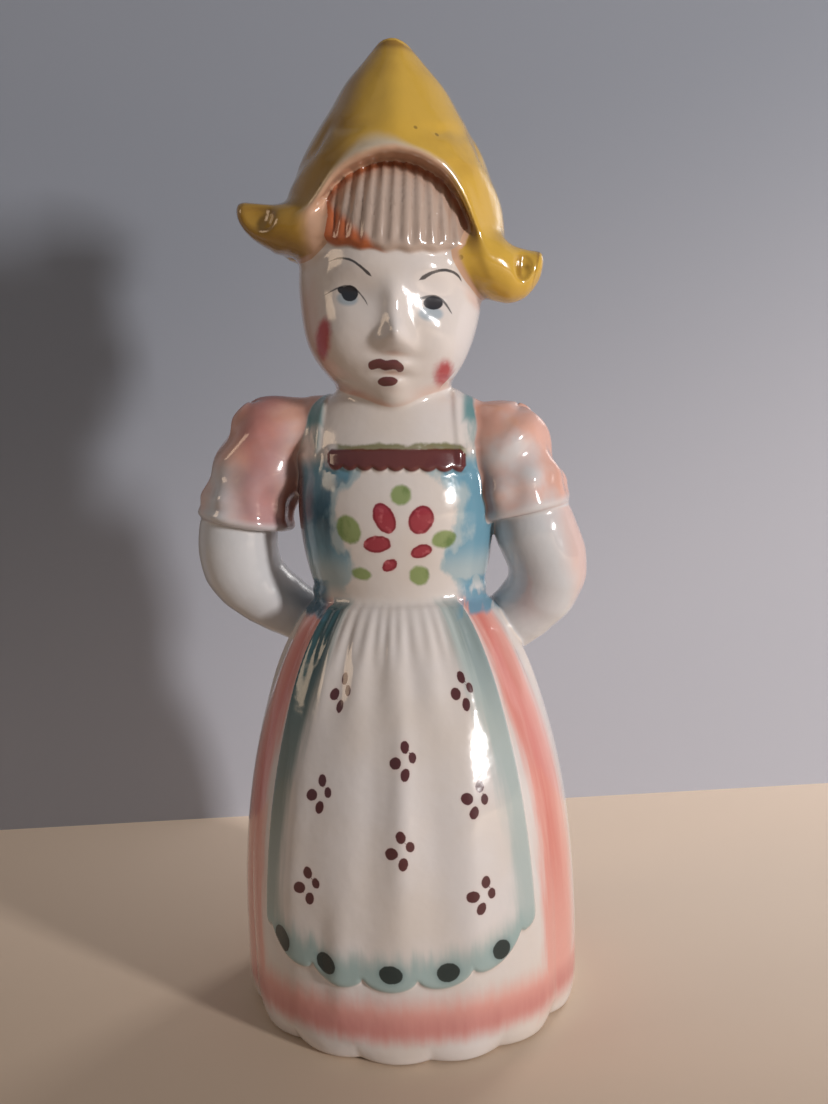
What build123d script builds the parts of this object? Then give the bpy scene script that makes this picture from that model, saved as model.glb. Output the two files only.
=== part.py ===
"""Clothes sprinkler bottle: a slip-cast and glazed figure of a Dutch girl, closed by a cork with a rose.

Millimetres, +Z up. The figure faces -Y, and the origin is the centre of its base. Right and left are
the figure's own, so its right arm is at -X.
"""
import os
from math import asin, cos, degrees, exp, pi, radians, sin, sqrt

from build123d import *

os.makedirs("parts", exist_ok=True)

# Walls of the casting
wall = 3.2
floor_thickness = 4.5

# Skirt
skirt_width = 75.0
skirt_depth = 69.0
skirt_full_height = 17.0
waist_height = 90.0
waist_width = 37.0
waist_depth = 29.0
skirt_swell = 0.7
hem_roll = 5.0
hem_roll_height = 9.0
hem_scallops = 14
scallop_depth = 1.5
scallop_height = 6.5
fold_depth = 0.3
gather_depth = 0.7
gather_height = 14.0

# Apron, raised on the front of the skirt
apron_relief = 0.8
apron_half_angle = 49.0
apron_hem_height = 20.6
apron_hem_rise = 7.0
apron_lobe_angle = 18.0
apron_lobe_drop = 2.6
apron_waist_half_width = 17.0

# Bodice, chest and neck
bust_height = 109.0
bust_width = 41.4
bust_front = 17.6
back_depth = 14.5
bib_height = 120.0
bib_width = 40.4
bib_front = 15.8
shoulder_height = 131.0
shoulder_width = 38.0
shoulder_front = 12.0
neck_base_height = 137.5
neck_base_width = 21.0
neck_height = 142.0
neck_width = 19.0
neck_bore = 12.5
strap_width = 7.5
strap_relief = 0.7
strap_offset = 16.5
tie_width = 4.0
tie_relief = 0.8
trim_relief = 1.1
trim_left = -12.0
trim_right = 16.5
trim_band = 3.4
trim_scallops = 9

# Head: its own frame stands on the centre of the face, turned and tilted on the body
head_centre = (0.5, -1.0, 156.0)
head_tilt = 5.0
head_turn = 8.0
head_width = 39.0
head_front = 20.6
head_back = 19.6
head_level = 3.0
chin_drop = 29.5
crown_rise = 25.0
crown_cut = 20.0
chin_cut = -25.6
nose_height = 3.8
nose_level = -10.6
nose_angle = 8.0
nose_bridge = 5.0
nose_base = 2.0
cheek_height = 1.1
cheek_level = -11.0
cheek_angle = 36.0
eye_hollow = 0.9
eye_level = -3.0
eye_angle = 25.0
chin_height = 1.6
chin_level = -22.0
fringe_relief = 1.5
fringe_level = 6.0
fringe_half_width = 14.5
fringe_grooves = 9
fringe_groove_angle = 8.6
groove_radius = 0.55

# Cap
cap_width = 46.0
cap_shoulder_level = 15.0
cap_peak_level = 51.0
cap_tip_radius = 5.0
cap_rim_level = 3.0
cap_front = 23.4
cap_back = 22.6
cap_peak_front = 8.5
cap_peak_back = -4.5
cap_peak_shift = -1.8
cap_keel = 1.3
brim_apex_level = 22.3
brim_half_width = 22.0
brim_foot_level = -1.0
brim_back = -5.0
wing_reach = 33.0
wing_root_height = 15.0
wing_root_depth = 18.0
wing_tip_height = 4.4
wing_forward = 7.0
wing_cup_radius = 5.2
right_wing_level = 11.4
right_wing_tip = 14.3
left_wing_level = 7.4
left_wing_tip = 7.6

# Socket in the back of the cap, and the stopper in it
socket_lean = 35.0
mouth_back = 14.0
mouth_level = 36.5
mouth_radius = 8.5
collar_wall = 3.0
collar_depth = 15.0
cork_clearance = 0.08
cork_length = 19.0
cork_proud = 4.5
cork_taper = 1.2
cork_chamfer = 0.8
stem_radius = 3.2
stem_wall = 0.6
stem_clearance = 0.08
stem_below = 3.2
bead_radius = 0.7
rose_radius = 11.5
rose_seat_gap = 0.3
rose_plate = 0.8
rose_rim = 2.2
dome_rise = 6.0
dome_wall = 0.7
hole_radius = 0.5
hole_rings = 2
hole_pitch = 3.5

# Arms, on the tilt of the shoulders
shoulder_tilt = 3.0
shoulder_origin = (-1.5, 0.0, 110.0)
sleeve_depth = 11.5
cuff_height = 2.2
cuff_lip = 0.9
forearm_half_width = 8.7
forearm_half_depth = 9.2
armpit_reach = 19.5
right_cuff_reach = 41.5
right_elbow_reach = 43.2
right_elbow_level = -11.0
right_wrist_reach = 30.0
right_wrist_level = -24.5
left_cuff_reach = 38.2
left_elbow_reach = 43.2
left_elbow_level = -11.5
left_wrist_reach = 32.5
left_wrist_level = -25.5

head_frame = Plane(
    origin=head_centre,
    x_dir=(cos(radians(head_turn)) * cos(radians(head_tilt)), sin(radians(head_turn)),
           -cos(radians(head_turn)) * sin(radians(head_tilt))),
    z_dir=(sin(radians(head_tilt)), 0, cos(radians(head_tilt))),
)
arm_frame = Plane(
    origin=shoulder_origin,
    x_dir=(cos(radians(shoulder_tilt)), 0, -sin(radians(shoulder_tilt))),
    z_dir=(sin(radians(shoulder_tilt)), 0, cos(radians(shoulder_tilt))),
)


def oval(plane, half_width, front, back, centre_x=0.0):
    """An ellipse on a plane, from front (towards -Y) to back."""
    with BuildSketch(plane) as sketch:
        with Locations((centre_x, (back - front) / 2)):
            Ellipse(half_width, (back + front) / 2)
    return sketch.sketch


def arc_outline(plane, place, arcs, bias):
    """A closed outline of arcs; place gives the point at a turn from the front, where arcs are shorter."""
    turns = []
    for index in range(2 * arcs + 1):
        even = -pi + pi * index / arcs
        turns.append(even - bias * sin(even))
    with BuildSketch(plane) as sketch:
        with BuildLine():
            for start, middle, end in zip(turns[0::2], turns[1::2], turns[2::2]):
                ThreePointArc(place(start), place(middle), place(end))
        make_face()
    return sketch.sketch


def smooth_outline(plane, place, count, bias):
    """A closed smooth outline through points that place gives, closer together towards the front."""
    evens = [-pi + 2 * pi * index / count for index in range(count)]
    with BuildSketch(plane) as sketch:
        with BuildLine():
            Spline(*[place(even - bias * sin(even)) for even in evens], periodic=True)
        make_face()
    return sketch.sketch


def bump(value, centre, reach):
    """One at the centre, falling smoothly to nothing over about twice the reach."""
    return exp(-(((value - centre) / reach) ** 2))


# Skirt: its half width grows from the waist to the full height and turns in under the hem
def skirt_half_width(height):
    fall = min(1.0, (waist_height - height) / (waist_height - skirt_full_height))
    spread = sin(pi / 2 * fall ** skirt_swell)
    half = waist_width / 2 + (skirt_width - waist_width) / 2 * spread
    roll = max(0.0, 1 - height / hem_roll_height)
    return half - hem_roll * (1 - sqrt(1 - roll ** 2))


def skirt_half_depth(height):
    fall = min(1.0, (waist_height - height) / (waist_height - skirt_full_height))
    spread = sin(pi / 2 * fall ** skirt_swell)
    half = waist_depth / 2 + (skirt_depth - waist_depth) / 2 * spread
    roll = max(0.0, 1 - height / hem_roll_height)
    return half - hem_roll * (1 - sqrt(1 - roll ** 2))


def skirt_section(height, relief=0.0):
    """One lobe for each scallop of the hem; higher up the same lobes are folds and gathers."""
    hem = scallop_depth * max(0.0, 1 - height / scallop_height)
    gathers = gather_depth * max(0.0, 1 - (waist_height - height) / gather_height)
    inset = hem + fold_depth + gathers
    a, b = skirt_half_width(height) + relief, skirt_half_depth(height) + relief
    step = 2 * pi / hem_scallops

    def place(turn, drop):
        return ((a - drop) * sin(turn), -(b - drop) * cos(turn))

    with BuildSketch(Plane.XY.offset(height)) as sketch:
        with BuildLine():
            for lobe in range(hem_scallops):
                middle = lobe * step
                ThreePointArc(place(middle - step / 2, inset), place(middle, 0),
                              place(middle + step / 2, inset))
        make_face()
    return sketch.sketch


def skirt_inset(height):
    """The wall's horizontal thickness, where the skirt slopes and where the gathers cut into it."""
    slope = skirt_half_width(height - 1) - skirt_half_width(height)
    gathers = gather_depth * max(0.0, 1 - (waist_height - height) / gather_height)
    return wall * sqrt(1 + slope ** 2) + gathers + fold_depth


skirt_heights = (0.0, 1.0, 3.0, scallop_height, 11.0, skirt_full_height, 30.0, 45.0, 60.0, 72.0, 81.0,
                 waist_height)
cavity_heights = (floor_thickness, 7.0, 12.0, 20.0, 35.0, 50.0, 65.0, 76.0, waist_height - 4)

def skirt_cavity():
    sections = []
    for height in cavity_heights:
        inset = skirt_inset(height)
        depth = skirt_half_depth(height) - inset
        sections.append(oval(Plane.XY.offset(height), skirt_half_width(height) - inset, depth, depth))
    return sections


# Torso: height, half width, front and back, from inside the skirt up to the neck
torso_stations = (
    (waist_height - 5, waist_width / 2 - 1.0, waist_depth / 2, waist_depth / 2),
    (waist_height + 2, waist_width / 2 - 0.4, waist_depth / 2 + 0.2, waist_depth / 2 - 0.2),
    ((waist_height + bust_height) / 2, (waist_width + bust_width) / 4 + 0.7, bust_front - 1.2, back_depth - 0.1),
    (bust_height, bust_width / 2, bust_front, back_depth),
    (bib_height, bib_width / 2, bib_front, back_depth),
    (shoulder_height, shoulder_width / 2, shoulder_front, back_depth - 2),
    (neck_base_height, neck_base_width / 2, neck_base_width / 2 - 1, neck_base_width / 2),
    (neck_height, neck_width / 2, neck_width / 2, neck_width / 2),
)


def torso_sections(relief=0.0):
    return [oval(Plane.XY.offset(z), a + relief, f + relief, b + relief) for z, a, f, b in torso_stations]


def torso_cavity():
    sections = [oval(Plane.XY.offset(z), a - wall, f - wall, b - wall) for z, a, f, b in torso_stations[:-3]]
    for height in (neck_base_height, neck_height):
        sections.append(oval(Plane.XY.offset(height), neck_bore / 2, neck_bore / 2, neck_bore / 2))
    return sections


# Apron: its sides follow the skirt at a fixed angle, and its hem hangs in lobes
def apron_edge(height):
    return skirt_half_width(height) * sin(radians(apron_half_angle))


def apron_cusp(angle):
    rise = apron_hem_rise * (abs(angle) / apron_half_angle) ** 3
    height = apron_hem_height + rise
    return (skirt_half_width(height) * sin(radians(angle)), height)


with BuildPart() as apron:
    loft([skirt_section(height, apron_relief) for height in skirt_heights[3:]])
    with BuildSketch(Plane.XZ):
        with BuildLine():
            cusps = [apron_cusp(angle) for angle in (
                -apron_half_angle, -1.5 * apron_lobe_angle, -apron_lobe_angle / 2,
                apron_lobe_angle / 2, 1.5 * apron_lobe_angle, apron_half_angle)]
            for start, end in zip(cusps, cusps[1:]):
                middle = ((start[0] + end[0]) / 2, (start[1] + end[1]) / 2 - apron_lobe_drop)
                ThreePointArc(start, middle, end)
            side = [(apron_edge(height), height) for height in (34.0, 50.0, 66.0, 80.0)]
            side.append((apron_waist_half_width, waist_height))
            Spline(cusps[-1], *side)
            Spline(cusps[0], *[(-x, height) for x, height in side])
            Line((apron_waist_half_width, waist_height), (-apron_waist_half_width, waist_height))
        make_face()
    extrude(amount=skirt_depth, mode=Mode.INTERSECT)

# Straps, waist tie and neck trim, raised on the torso
with BuildPart() as straps:
    loft(torso_sections(strap_relief))
    with BuildSketch(Plane.XZ):
        for side in (-1, 1):
            with Locations((side * strap_offset, (bib_height + neck_base_height) / 2)):
                Rectangle(strap_width, neck_base_height - bib_height)
    extrude(amount=skirt_depth, both=True, mode=Mode.INTERSECT)

with BuildPart() as waist_tie:
    loft(torso_sections(tie_relief))
    with BuildSketch(Plane.XY.offset(waist_height - tie_width / 2)):
        Rectangle(skirt_width, skirt_depth)
    extrude(amount=tie_width, mode=Mode.INTERSECT)

with BuildPart() as trim:
    loft(torso_sections(trim_relief))
    with BuildSketch(Plane.XZ):
        with BuildLine():
            trim_step = (trim_right - trim_left) / trim_scallops
            low = bib_height - trim_band / 2
            high = bib_height + trim_band / 2
            for scallop in range(trim_scallops):
                start = trim_left + scallop * trim_step
                ThreePointArc((start, low), (start + trim_step / 2, low - trim_step / 4),
                              (start + trim_step, low))
            Polyline((trim_right, low), (trim_right, high), (trim_left, high), (trim_left, low))
        make_face()
    extrude(amount=skirt_depth, mode=Mode.INTERSECT)

with BuildPart() as torso:
    loft(torso_sections())

with BuildPart() as skirt:
    loft([skirt_section(height) for height in skirt_heights])

with BuildPart() as figure_body:
    add(skirt.part)
    add(torso.part)
    add(apron.part)
    add(straps.part)
    add(waist_tie.part)
    add(trim.part)
    loft(skirt_cavity(), mode=Mode.SUBTRACT)
    loft(torso_cavity(), mode=Mode.SUBTRACT)
figure_body.part.label = "figure_body"


# Head: an egg with fuller cheeks in front, and the nose, cheeks, chin and eye hollows raised on it
def head_shares(level):
    semi = crown_rise if level > head_level else chin_drop
    reach = min(1.0, abs(level - head_level) / semi)
    return sqrt(1 - reach ** 2), (1 - reach ** 3) ** (1 / 3)


def face_relief(turn, level):
    nose_reach = nose_bridge if level > nose_level else nose_base
    relief = nose_height * bump(turn, 0, nose_angle) * bump(level, nose_level, nose_reach)
    relief += chin_height * bump(turn, 0, cheek_angle / 2) * bump(level, chin_level, nose_base * 1.6)
    for side in (-1, 1):
        relief += cheek_height * bump(turn, side * cheek_angle, cheek_angle / 2) * bump(level, cheek_level, 7)
        relief -= eye_hollow * bump(turn, side * eye_angle, eye_angle / 2) * bump(level, eye_level, 4)
    return relief


def head_section(level, offset=0.0, features=True):
    """The head's outline at a level, with shorter arcs towards the face."""
    side_share, front_share = head_shares(level)
    width = head_width / 2 * side_share

    def place(turn):
        relief = offset + (face_relief(degrees(turn), level) if features else 0)
        depth = head_front * front_share if cos(turn) > 0 else head_back * side_share
        return ((width + relief) * sin(turn), -(depth + relief) * cos(turn))

    return arc_outline(head_frame.offset(level), place, 20 if features else 12, 0.5)


def head_hollow(level):
    side_share, front_share = head_shares(level)
    return oval(head_frame.offset(level), head_width / 2 * side_share - wall, head_front * front_share - wall,
                head_back * side_share - wall)


face_levels = (chin_cut, -24.0, -21.8, -19.0, -16.4, -14.4, -12.6, -10.6, -8.2, -5.4, -2.4, 1.0, 5.0, 10.0,
               15.0, 20.0, 24.0)
hollow_levels = (chin_cut + wall + 1.5, -16.0, -8.0, 0.0, 8.0, 14.0, crown_cut - 1, crown_cut + 1)

with BuildPart() as groove_cutters:
    for groove in range(fringe_grooves):
        turn = (groove - (fringe_grooves - 1) / 2) * fringe_groove_angle
        ring = Plane(head_frame.from_local_coords((0, 0, head_level)),
                     x_dir=head_frame.from_local_coords((sin(radians(turn)), -cos(radians(turn)), 0))
                     - head_frame.origin, z_dir=head_frame.from_local_coords((cos(radians(turn)),
                     sin(radians(turn)), 0)) - head_frame.origin)
        with BuildSketch(ring):
            with Locations((head_front + fringe_relief + 0.1, 0)):
                Circle(groove_radius)
        revolve(axis=Axis(ring.origin, ring.z_dir), revolution_arc=50)

with BuildPart() as fringe_pad:
    loft([head_section(level, fringe_relief, False) for level in (0.0, 6.0, 12.0, 17.0, 22.0)])
    with BuildSketch(Plane(head_frame.origin, x_dir=head_frame.x_dir, z_dir=-head_frame.y_dir)):
        with BuildLine():
            ThreePointArc((-fringe_half_width, fringe_level + 1.5), (0, fringe_level - 1),
                          (fringe_half_width, fringe_level + 1.5))
            Polyline((fringe_half_width, fringe_level + 1.5), (fringe_half_width, 22), (-fringe_half_width, 22),
                     (-fringe_half_width, fringe_level + 1.5))
        make_face()
    extrude(amount=head_width, mode=Mode.INTERSECT)

with BuildPart() as fringe:
    add(fringe_pad.part)
    add(groove_cutters.part, mode=Mode.SUBTRACT)

with BuildPart() as head_form:
    loft([head_section(level) for level in face_levels])

with BuildPart() as head:
    add(head_form.part)
    add(fringe.part)
    with BuildSketch(head_frame.offset(crown_cut)):
        Rectangle(2 * head_width, 2 * head_width)
    extrude(amount=crown_rise, mode=Mode.SUBTRACT)
    add(torso.part, mode=Mode.SUBTRACT)
    loft([head_hollow(level) for level in hollow_levels], mode=Mode.SUBTRACT)
    with BuildSketch(Plane.XY.offset(neck_base_height)):
        Circle(neck_bore / 2)
    extrude(amount=wall * 3, mode=Mode.SUBTRACT)
head.part.label = "head"


# Cap: sections across the head's frame, drawn in to a peak, with a keel down the front
def cap_fall(level):
    return max(0.0, (level - cap_shoulder_level) / (cap_peak_level - cap_shoulder_level))


def cap_reaches(level, inset=0.0):
    """Half width, front, back and sideways shift of the cap at a level."""
    fall = cap_fall(level)
    half = cap_width / 2 * (1 - fall ** 2.3) ** 0.95
    rise = max(0.0, (level - brim_apex_level) / (cap_peak_level - brim_apex_level))
    front = cap_front - (cap_front - cap_peak_front) * rise ** 1.15
    back = cap_back - (cap_back - cap_peak_back) * fall ** 1.8
    tip = cap_tip_radius ** 2 - max(0.0, level - cap_peak_level + cap_tip_radius) ** 2
    return max(half, sqrt(tip)) - inset, front - inset, back - inset, cap_peak_shift * fall ** 2


def cap_section(level):
    half, front, back, shift = cap_reaches(level)
    middle, semi = (back - front) / 2, (back + front) / 2

    def place(turn):
        ridge = cap_keel * bump(degrees(turn), 0, 16) * cap_fall(level + 12)
        return (shift + half * sin(turn), middle - (semi + ridge) * cos(turn))

    return smooth_outline(head_frame.offset(level), place, 20, 0.35)


cap_levels = (cap_rim_level, 7.0, 12.0, 18.0, 24.0, 30.0, 36.0, 41.0, 45.0, 48.0, 50.3, cap_peak_level - 0.2)
front_frame = Plane(head_frame.origin, x_dir=head_frame.x_dir, z_dir=-head_frame.y_dir)


def wing(side, root_level, tip_level):
    """One turned-up end of the brim: ovals that narrow from the side of the cap out to the tip."""
    sections = []
    for share in (0.0, 0.3, 0.62, 0.88, 1.0):
        reach = cap_width / 2 - 5 + (wing_reach - cap_width / 2 + 5) * share
        level = root_level + (tip_level - root_level) * share ** 2
        height = wing_root_height + (wing_tip_height - wing_root_height) * share ** 2.4
        depth = wing_root_depth + (wing_tip_height - wing_root_depth) * share ** 1.4
        plane = Plane(head_frame.from_local_coords((side * reach, -wing_forward, level)),
                      x_dir=head_frame.y_dir, z_dir=head_frame.x_dir * side)
        with BuildSketch(plane) as sketch:
            Ellipse(depth / 2, height / 2)
        sections.append(sketch.sketch)
    return loft(sections)


socket_axis = (0, sin(radians(socket_lean)), cos(radians(socket_lean)))
mouth_centre = head_frame.from_local_coords((0, mouth_back, mouth_level))
socket_plane = Plane(
    mouth_centre,
    x_dir=head_frame.x_dir,
    z_dir=head_frame.from_local_coords(socket_axis) - head_frame.origin,
)

with BuildPart() as dutch_cap:
    loft([cap_section(level) for level in cap_levels])
    with BuildSketch(socket_plane):
        Circle(mouth_radius + collar_wall)
    extrude(amount=-collar_depth)
    wing(-1, right_wing_level, right_wing_tip)
    wing(1, left_wing_level, left_wing_tip)
    with BuildSketch(front_frame.offset(-brim_back)):
        with BuildLine():
            Spline((-brim_half_width, brim_foot_level), (-16.0, 10.0), (-11.3, 17.5), (-6.6, 20.9),
                   (0, brim_apex_level), (6.6, 20.9), (11.3, 17.5), (16.0, 10.0),
                   (brim_half_width, brim_foot_level))
            Polyline((brim_half_width, brim_foot_level), (brim_half_width, cap_rim_level - 6),
                     (-brim_half_width, cap_rim_level - 6), (-brim_half_width, brim_foot_level))
        make_face()
    extrude(amount=2 * head_width, mode=Mode.SUBTRACT)
    for side, level in ((-1, right_wing_tip), (1, left_wing_tip)):
        cup_forward = wing_forward + wing_cup_radius + 2.4
        cup = head_frame.from_local_coords((side * (wing_reach - 5), -cup_forward, level - 1))
        with Locations(cup):
            Sphere(wing_cup_radius, mode=Mode.SUBTRACT)
    add(head_form.part, mode=Mode.SUBTRACT)
    add(fringe_pad.part, mode=Mode.SUBTRACT)
    loft([
        oval(head_frame.offset(crown_cut - 1), 12.0, 11.0, 15.0),
        oval(head_frame.offset(26.0), cap_reaches(26)[0] - wall - 1, 17.0, cap_reaches(26)[2] - wall),
        oval(head_frame.offset(32.0), cap_reaches(32)[0] - wall - 0.5, cap_reaches(32)[1] - wall - 0.5,
             cap_reaches(32)[2] - wall - 0.5),
        oval(head_frame.offset(38.0), cap_reaches(38)[0] - wall - 0.8, cap_reaches(38)[1] - wall - 0.8,
             cap_reaches(38)[2] - wall - 0.8),
        oval(head_frame.offset(43.0), 3.5, cap_reaches(43)[1] - wall - 3, cap_reaches(43)[2] - wall - 1),
    ], mode=Mode.SUBTRACT)
    with BuildSketch(socket_plane):
        Circle(mouth_radius)
    extrude(amount=-collar_depth - 2, mode=Mode.SUBTRACT)
dutch_cap.part.label = "dutch_cap"


# Arms: a puffed sleeve with a rolled cuff, then the bent forearm down to the hand at the hip
def limb_section(side, reach, forward, level, lean, half_width, half_depth):
    """An oval across the limb; lean turns it from the vertical towards the outside."""
    down = (side * sin(radians(lean)), 0, -cos(radians(lean)))
    plane = Plane(
        arm_frame.from_local_coords((side * reach, -forward, level)),
        x_dir=arm_frame.y_dir,
        z_dir=arm_frame.from_local_coords(down) - arm_frame.origin,
    )
    with BuildSketch(plane) as sketch:
        Ellipse(half_depth, half_width)
    return sketch.sketch


def build_arm(side, cuff_reach, elbow_reach, elbow_level, wrist_reach, wrist_level):
    with BuildPart() as arm:
        sleeve = cuff_reach - armpit_reach
        loft([
            limb_section(side, 12.0, 0, 20.5, 80, 4.6, 7.0),
            limb_section(side, 20.0, 0, 17.4, 58, 8.0, 9.6),
            limb_section(side, cuff_reach - 14.6, 0.3, 10.5, 30, 10.2, sleeve_depth - 0.6),
            limb_section(side, cuff_reach - 12.0, 0.5, 4.0, 15, 10.4, sleeve_depth),
            limb_section(side, cuff_reach - sleeve / 2, 0.5, -0.5, 10, sleeve / 2, sleeve_depth + cuff_lip),
            limb_section(side, cuff_reach - sleeve / 2, 0.5, -0.5 - cuff_height, 8, sleeve / 2 - cuff_lip,
                         sleeve_depth - 0.3),
        ])
        middle = (elbow_reach + wrist_reach) / 2 - 5.2
        middle_level = (elbow_level + wrist_level) / 2 - 1.5
        loft([
            limb_section(side, cuff_reach - sleeve / 2 + 0.3, 0.3, 0.7, 10, sleeve / 2 - 2.2,
                         forearm_half_depth),
            limb_section(side, (cuff_reach + elbow_reach) / 2 - 9.4, 0.1, -4.5, 2, forearm_half_width - 0.2,
                         forearm_half_depth),
            limb_section(side, elbow_reach - 9.3, -0.6, elbow_level, -14, forearm_half_width,
                         forearm_half_depth),
            limb_section(side, middle, -3.2, middle_level, -44, 7.3, forearm_half_depth - 2),
            limb_section(side, wrist_reach - 5.0, -6.0, wrist_level + 0.5, -52, 5.8, forearm_half_depth - 3.4),
            limb_section(side, wrist_reach - 10.5, -8.5, wrist_level - 4.0, -56, 5.2, forearm_half_depth - 4.3),
            limb_section(side, wrist_reach - 14.5, -10.0, wrist_level - 6.5, -60, 4.0, forearm_half_depth - 5.5),
        ])
        for neighbour in (torso, skirt, straps, waist_tie):
            add(neighbour.part, mode=Mode.SUBTRACT)
    return arm.part


right_arm = build_arm(-1, right_cuff_reach, right_elbow_reach, right_elbow_level, right_wrist_reach,
                      right_wrist_level)
left_arm = build_arm(1, left_cuff_reach, left_elbow_reach, left_elbow_level, left_wrist_reach,
                     left_wrist_level)

# Stopper: everything turns about the axis of the socket, so each profile is drawn from that axis out
profile_plane = Plane(socket_plane.origin, x_dir=socket_plane.x_dir, z_dir=-socket_plane.y_dir)
stopper_axis = Axis(socket_plane.origin, socket_plane.z_dir)
cork_radius = mouth_radius - cork_clearance
cork_bottom = cork_proud - cork_length
stem_hole = stem_radius + stem_clearance

with BuildPart() as cork:
    with BuildSketch(profile_plane):
        with BuildLine():
            spread = cork_taper * cork_proud / cork_length
            Polyline((stem_hole, cork_bottom), (cork_radius - cork_taper, cork_bottom), (cork_radius, 0),
                     (cork_radius + spread, cork_proud), (stem_hole, cork_proud), close=True)
        make_face()
    revolve(axis=stopper_axis)
    rims = cork.edges().filter_by(GeomType.CIRCLE).group_by(SortBy.RADIUS)
    chamfer(rims[-1] + rims[-3], cork_chamfer)
cork.part.label = "cork"

# Rose: a tube with a rolled bead below the cork, a cup on top and a pierced dome seated in the cup
rose_seat = cork_proud + rose_seat_gap
stem_top = rose_seat + rose_plate
stem_end = cork_bottom - stem_below
stem_bore = stem_radius - stem_wall
with BuildPart() as rose_stem:
    with BuildSketch(profile_plane):
        with BuildLine():
            Polyline((stem_bore, stem_end), (stem_radius, stem_end))
            ThreePointArc((stem_radius, stem_end), (stem_radius + bead_radius, stem_end + bead_radius),
                          (stem_radius, stem_end + 2 * bead_radius))
            Polyline((stem_radius, stem_end + 2 * bead_radius), (stem_radius, stem_top), (stem_bore, stem_top),
                     (stem_bore, stem_end))
        make_face()
    revolve(axis=stopper_axis)
rose_stem.part.label = "rose_stem"

with BuildPart() as rose_base:
    with BuildSketch(profile_plane):
        with BuildLine():
            inner = rose_radius - dome_wall
            Polyline((stem_radius, rose_seat), (rose_radius, rose_seat))
            ThreePointArc((rose_radius, rose_seat), (rose_radius + dome_wall, rose_seat + rose_rim / 2),
                          (rose_radius, rose_seat + rose_rim))
            Polyline((rose_radius, rose_seat + rose_rim), (inner, rose_seat + rose_rim), (inner, stem_top),
                     (stem_radius, stem_top), (stem_radius, rose_seat))
        make_face()
    revolve(axis=stopper_axis)
rose_base.part.label = "rose_base"

dome_foot = rose_radius - dome_wall
dome_sphere = (dome_foot ** 2 + dome_rise ** 2) / (2 * dome_rise)
dome_centre = stem_top + dome_rise - dome_sphere
with BuildPart() as rose_dome:
    with BuildSketch(profile_plane):
        with BuildLine():
            inner_sphere = dome_sphere - dome_wall
            inner_foot = sqrt(inner_sphere ** 2 - (stem_top - dome_centre) ** 2)
            half_outer, half_inner = asin(dome_foot / dome_sphere) / 2, asin(inner_foot / inner_sphere) / 2
            ThreePointArc((0, dome_centre + dome_sphere),
                          (dome_sphere * sin(half_outer), dome_centre + dome_sphere * cos(half_outer)),
                          (dome_foot, stem_top))
            Line((dome_foot, stem_top), (inner_foot, stem_top))
            ThreePointArc((inner_foot, stem_top),
                          (inner_sphere * sin(half_inner), dome_centre + inner_sphere * cos(half_inner)),
                          (0, dome_centre + inner_sphere))
            Line((0, dome_centre + inner_sphere), (0, dome_centre + dome_sphere))
        make_face()
    revolve(axis=stopper_axis)
    with BuildSketch(socket_plane.offset(stem_top)):
        Circle(hole_radius)
        for ring in range(1, hole_rings + 1):
            with PolarLocations(ring * hole_pitch, 5 * ring):
                Circle(hole_radius)
    extrude(amount=2 * dome_rise, mode=Mode.SUBTRACT)
rose_dome.part.label = "rose_dome"

right_arm.label = "right_arm"
left_arm.label = "left_arm"
pieces = (figure_body.part, head.part, dutch_cap.part, right_arm, left_arm, cork.part,
          rose_stem.part, rose_base.part, rose_dome.part)
for piece in pieces:
    export_step(piece, f"parts/{piece.label}.step")
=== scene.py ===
"""The painted and glazed look of a clothes sprinkler bottle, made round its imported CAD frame.

The figure was cast in pieces, luted together, painted and glazed, so its forms are joined here in one
volume of clay and then cut apart again into the pieces that the CAD names. Lengths are in millimetres
until a mesh is made, and the figure faces -Y with the middle of its base at the origin.
"""
import logging
import math
from dataclasses import dataclass, field
from enum import Enum

import bpy
import numpy as np
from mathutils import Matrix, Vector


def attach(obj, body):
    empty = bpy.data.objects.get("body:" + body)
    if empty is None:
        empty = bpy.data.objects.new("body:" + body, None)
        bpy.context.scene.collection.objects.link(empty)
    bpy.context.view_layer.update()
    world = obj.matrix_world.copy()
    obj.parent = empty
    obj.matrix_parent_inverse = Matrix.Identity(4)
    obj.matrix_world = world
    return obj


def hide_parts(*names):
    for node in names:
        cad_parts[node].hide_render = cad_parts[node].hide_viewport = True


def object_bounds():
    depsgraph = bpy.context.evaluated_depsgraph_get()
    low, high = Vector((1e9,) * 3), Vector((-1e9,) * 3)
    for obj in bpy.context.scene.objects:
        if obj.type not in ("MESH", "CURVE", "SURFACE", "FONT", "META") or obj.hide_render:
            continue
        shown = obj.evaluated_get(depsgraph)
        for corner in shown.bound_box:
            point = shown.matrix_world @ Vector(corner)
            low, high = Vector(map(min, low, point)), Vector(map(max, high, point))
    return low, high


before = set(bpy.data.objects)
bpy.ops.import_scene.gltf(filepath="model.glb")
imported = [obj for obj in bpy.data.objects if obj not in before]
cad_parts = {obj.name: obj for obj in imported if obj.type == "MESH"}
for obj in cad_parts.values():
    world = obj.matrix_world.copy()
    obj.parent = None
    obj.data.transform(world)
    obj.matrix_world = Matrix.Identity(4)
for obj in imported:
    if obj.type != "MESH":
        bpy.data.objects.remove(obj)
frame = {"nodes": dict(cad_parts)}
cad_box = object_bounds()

import openvdb
from mathutils import Matrix, Vector

log = logging.getLogger("sprinkler")

MM = 0.001
FAR = 50.0
Point = tuple[float, float, float]
Colour = tuple[float, float, float]


# Small measures shared by the forms


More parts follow.
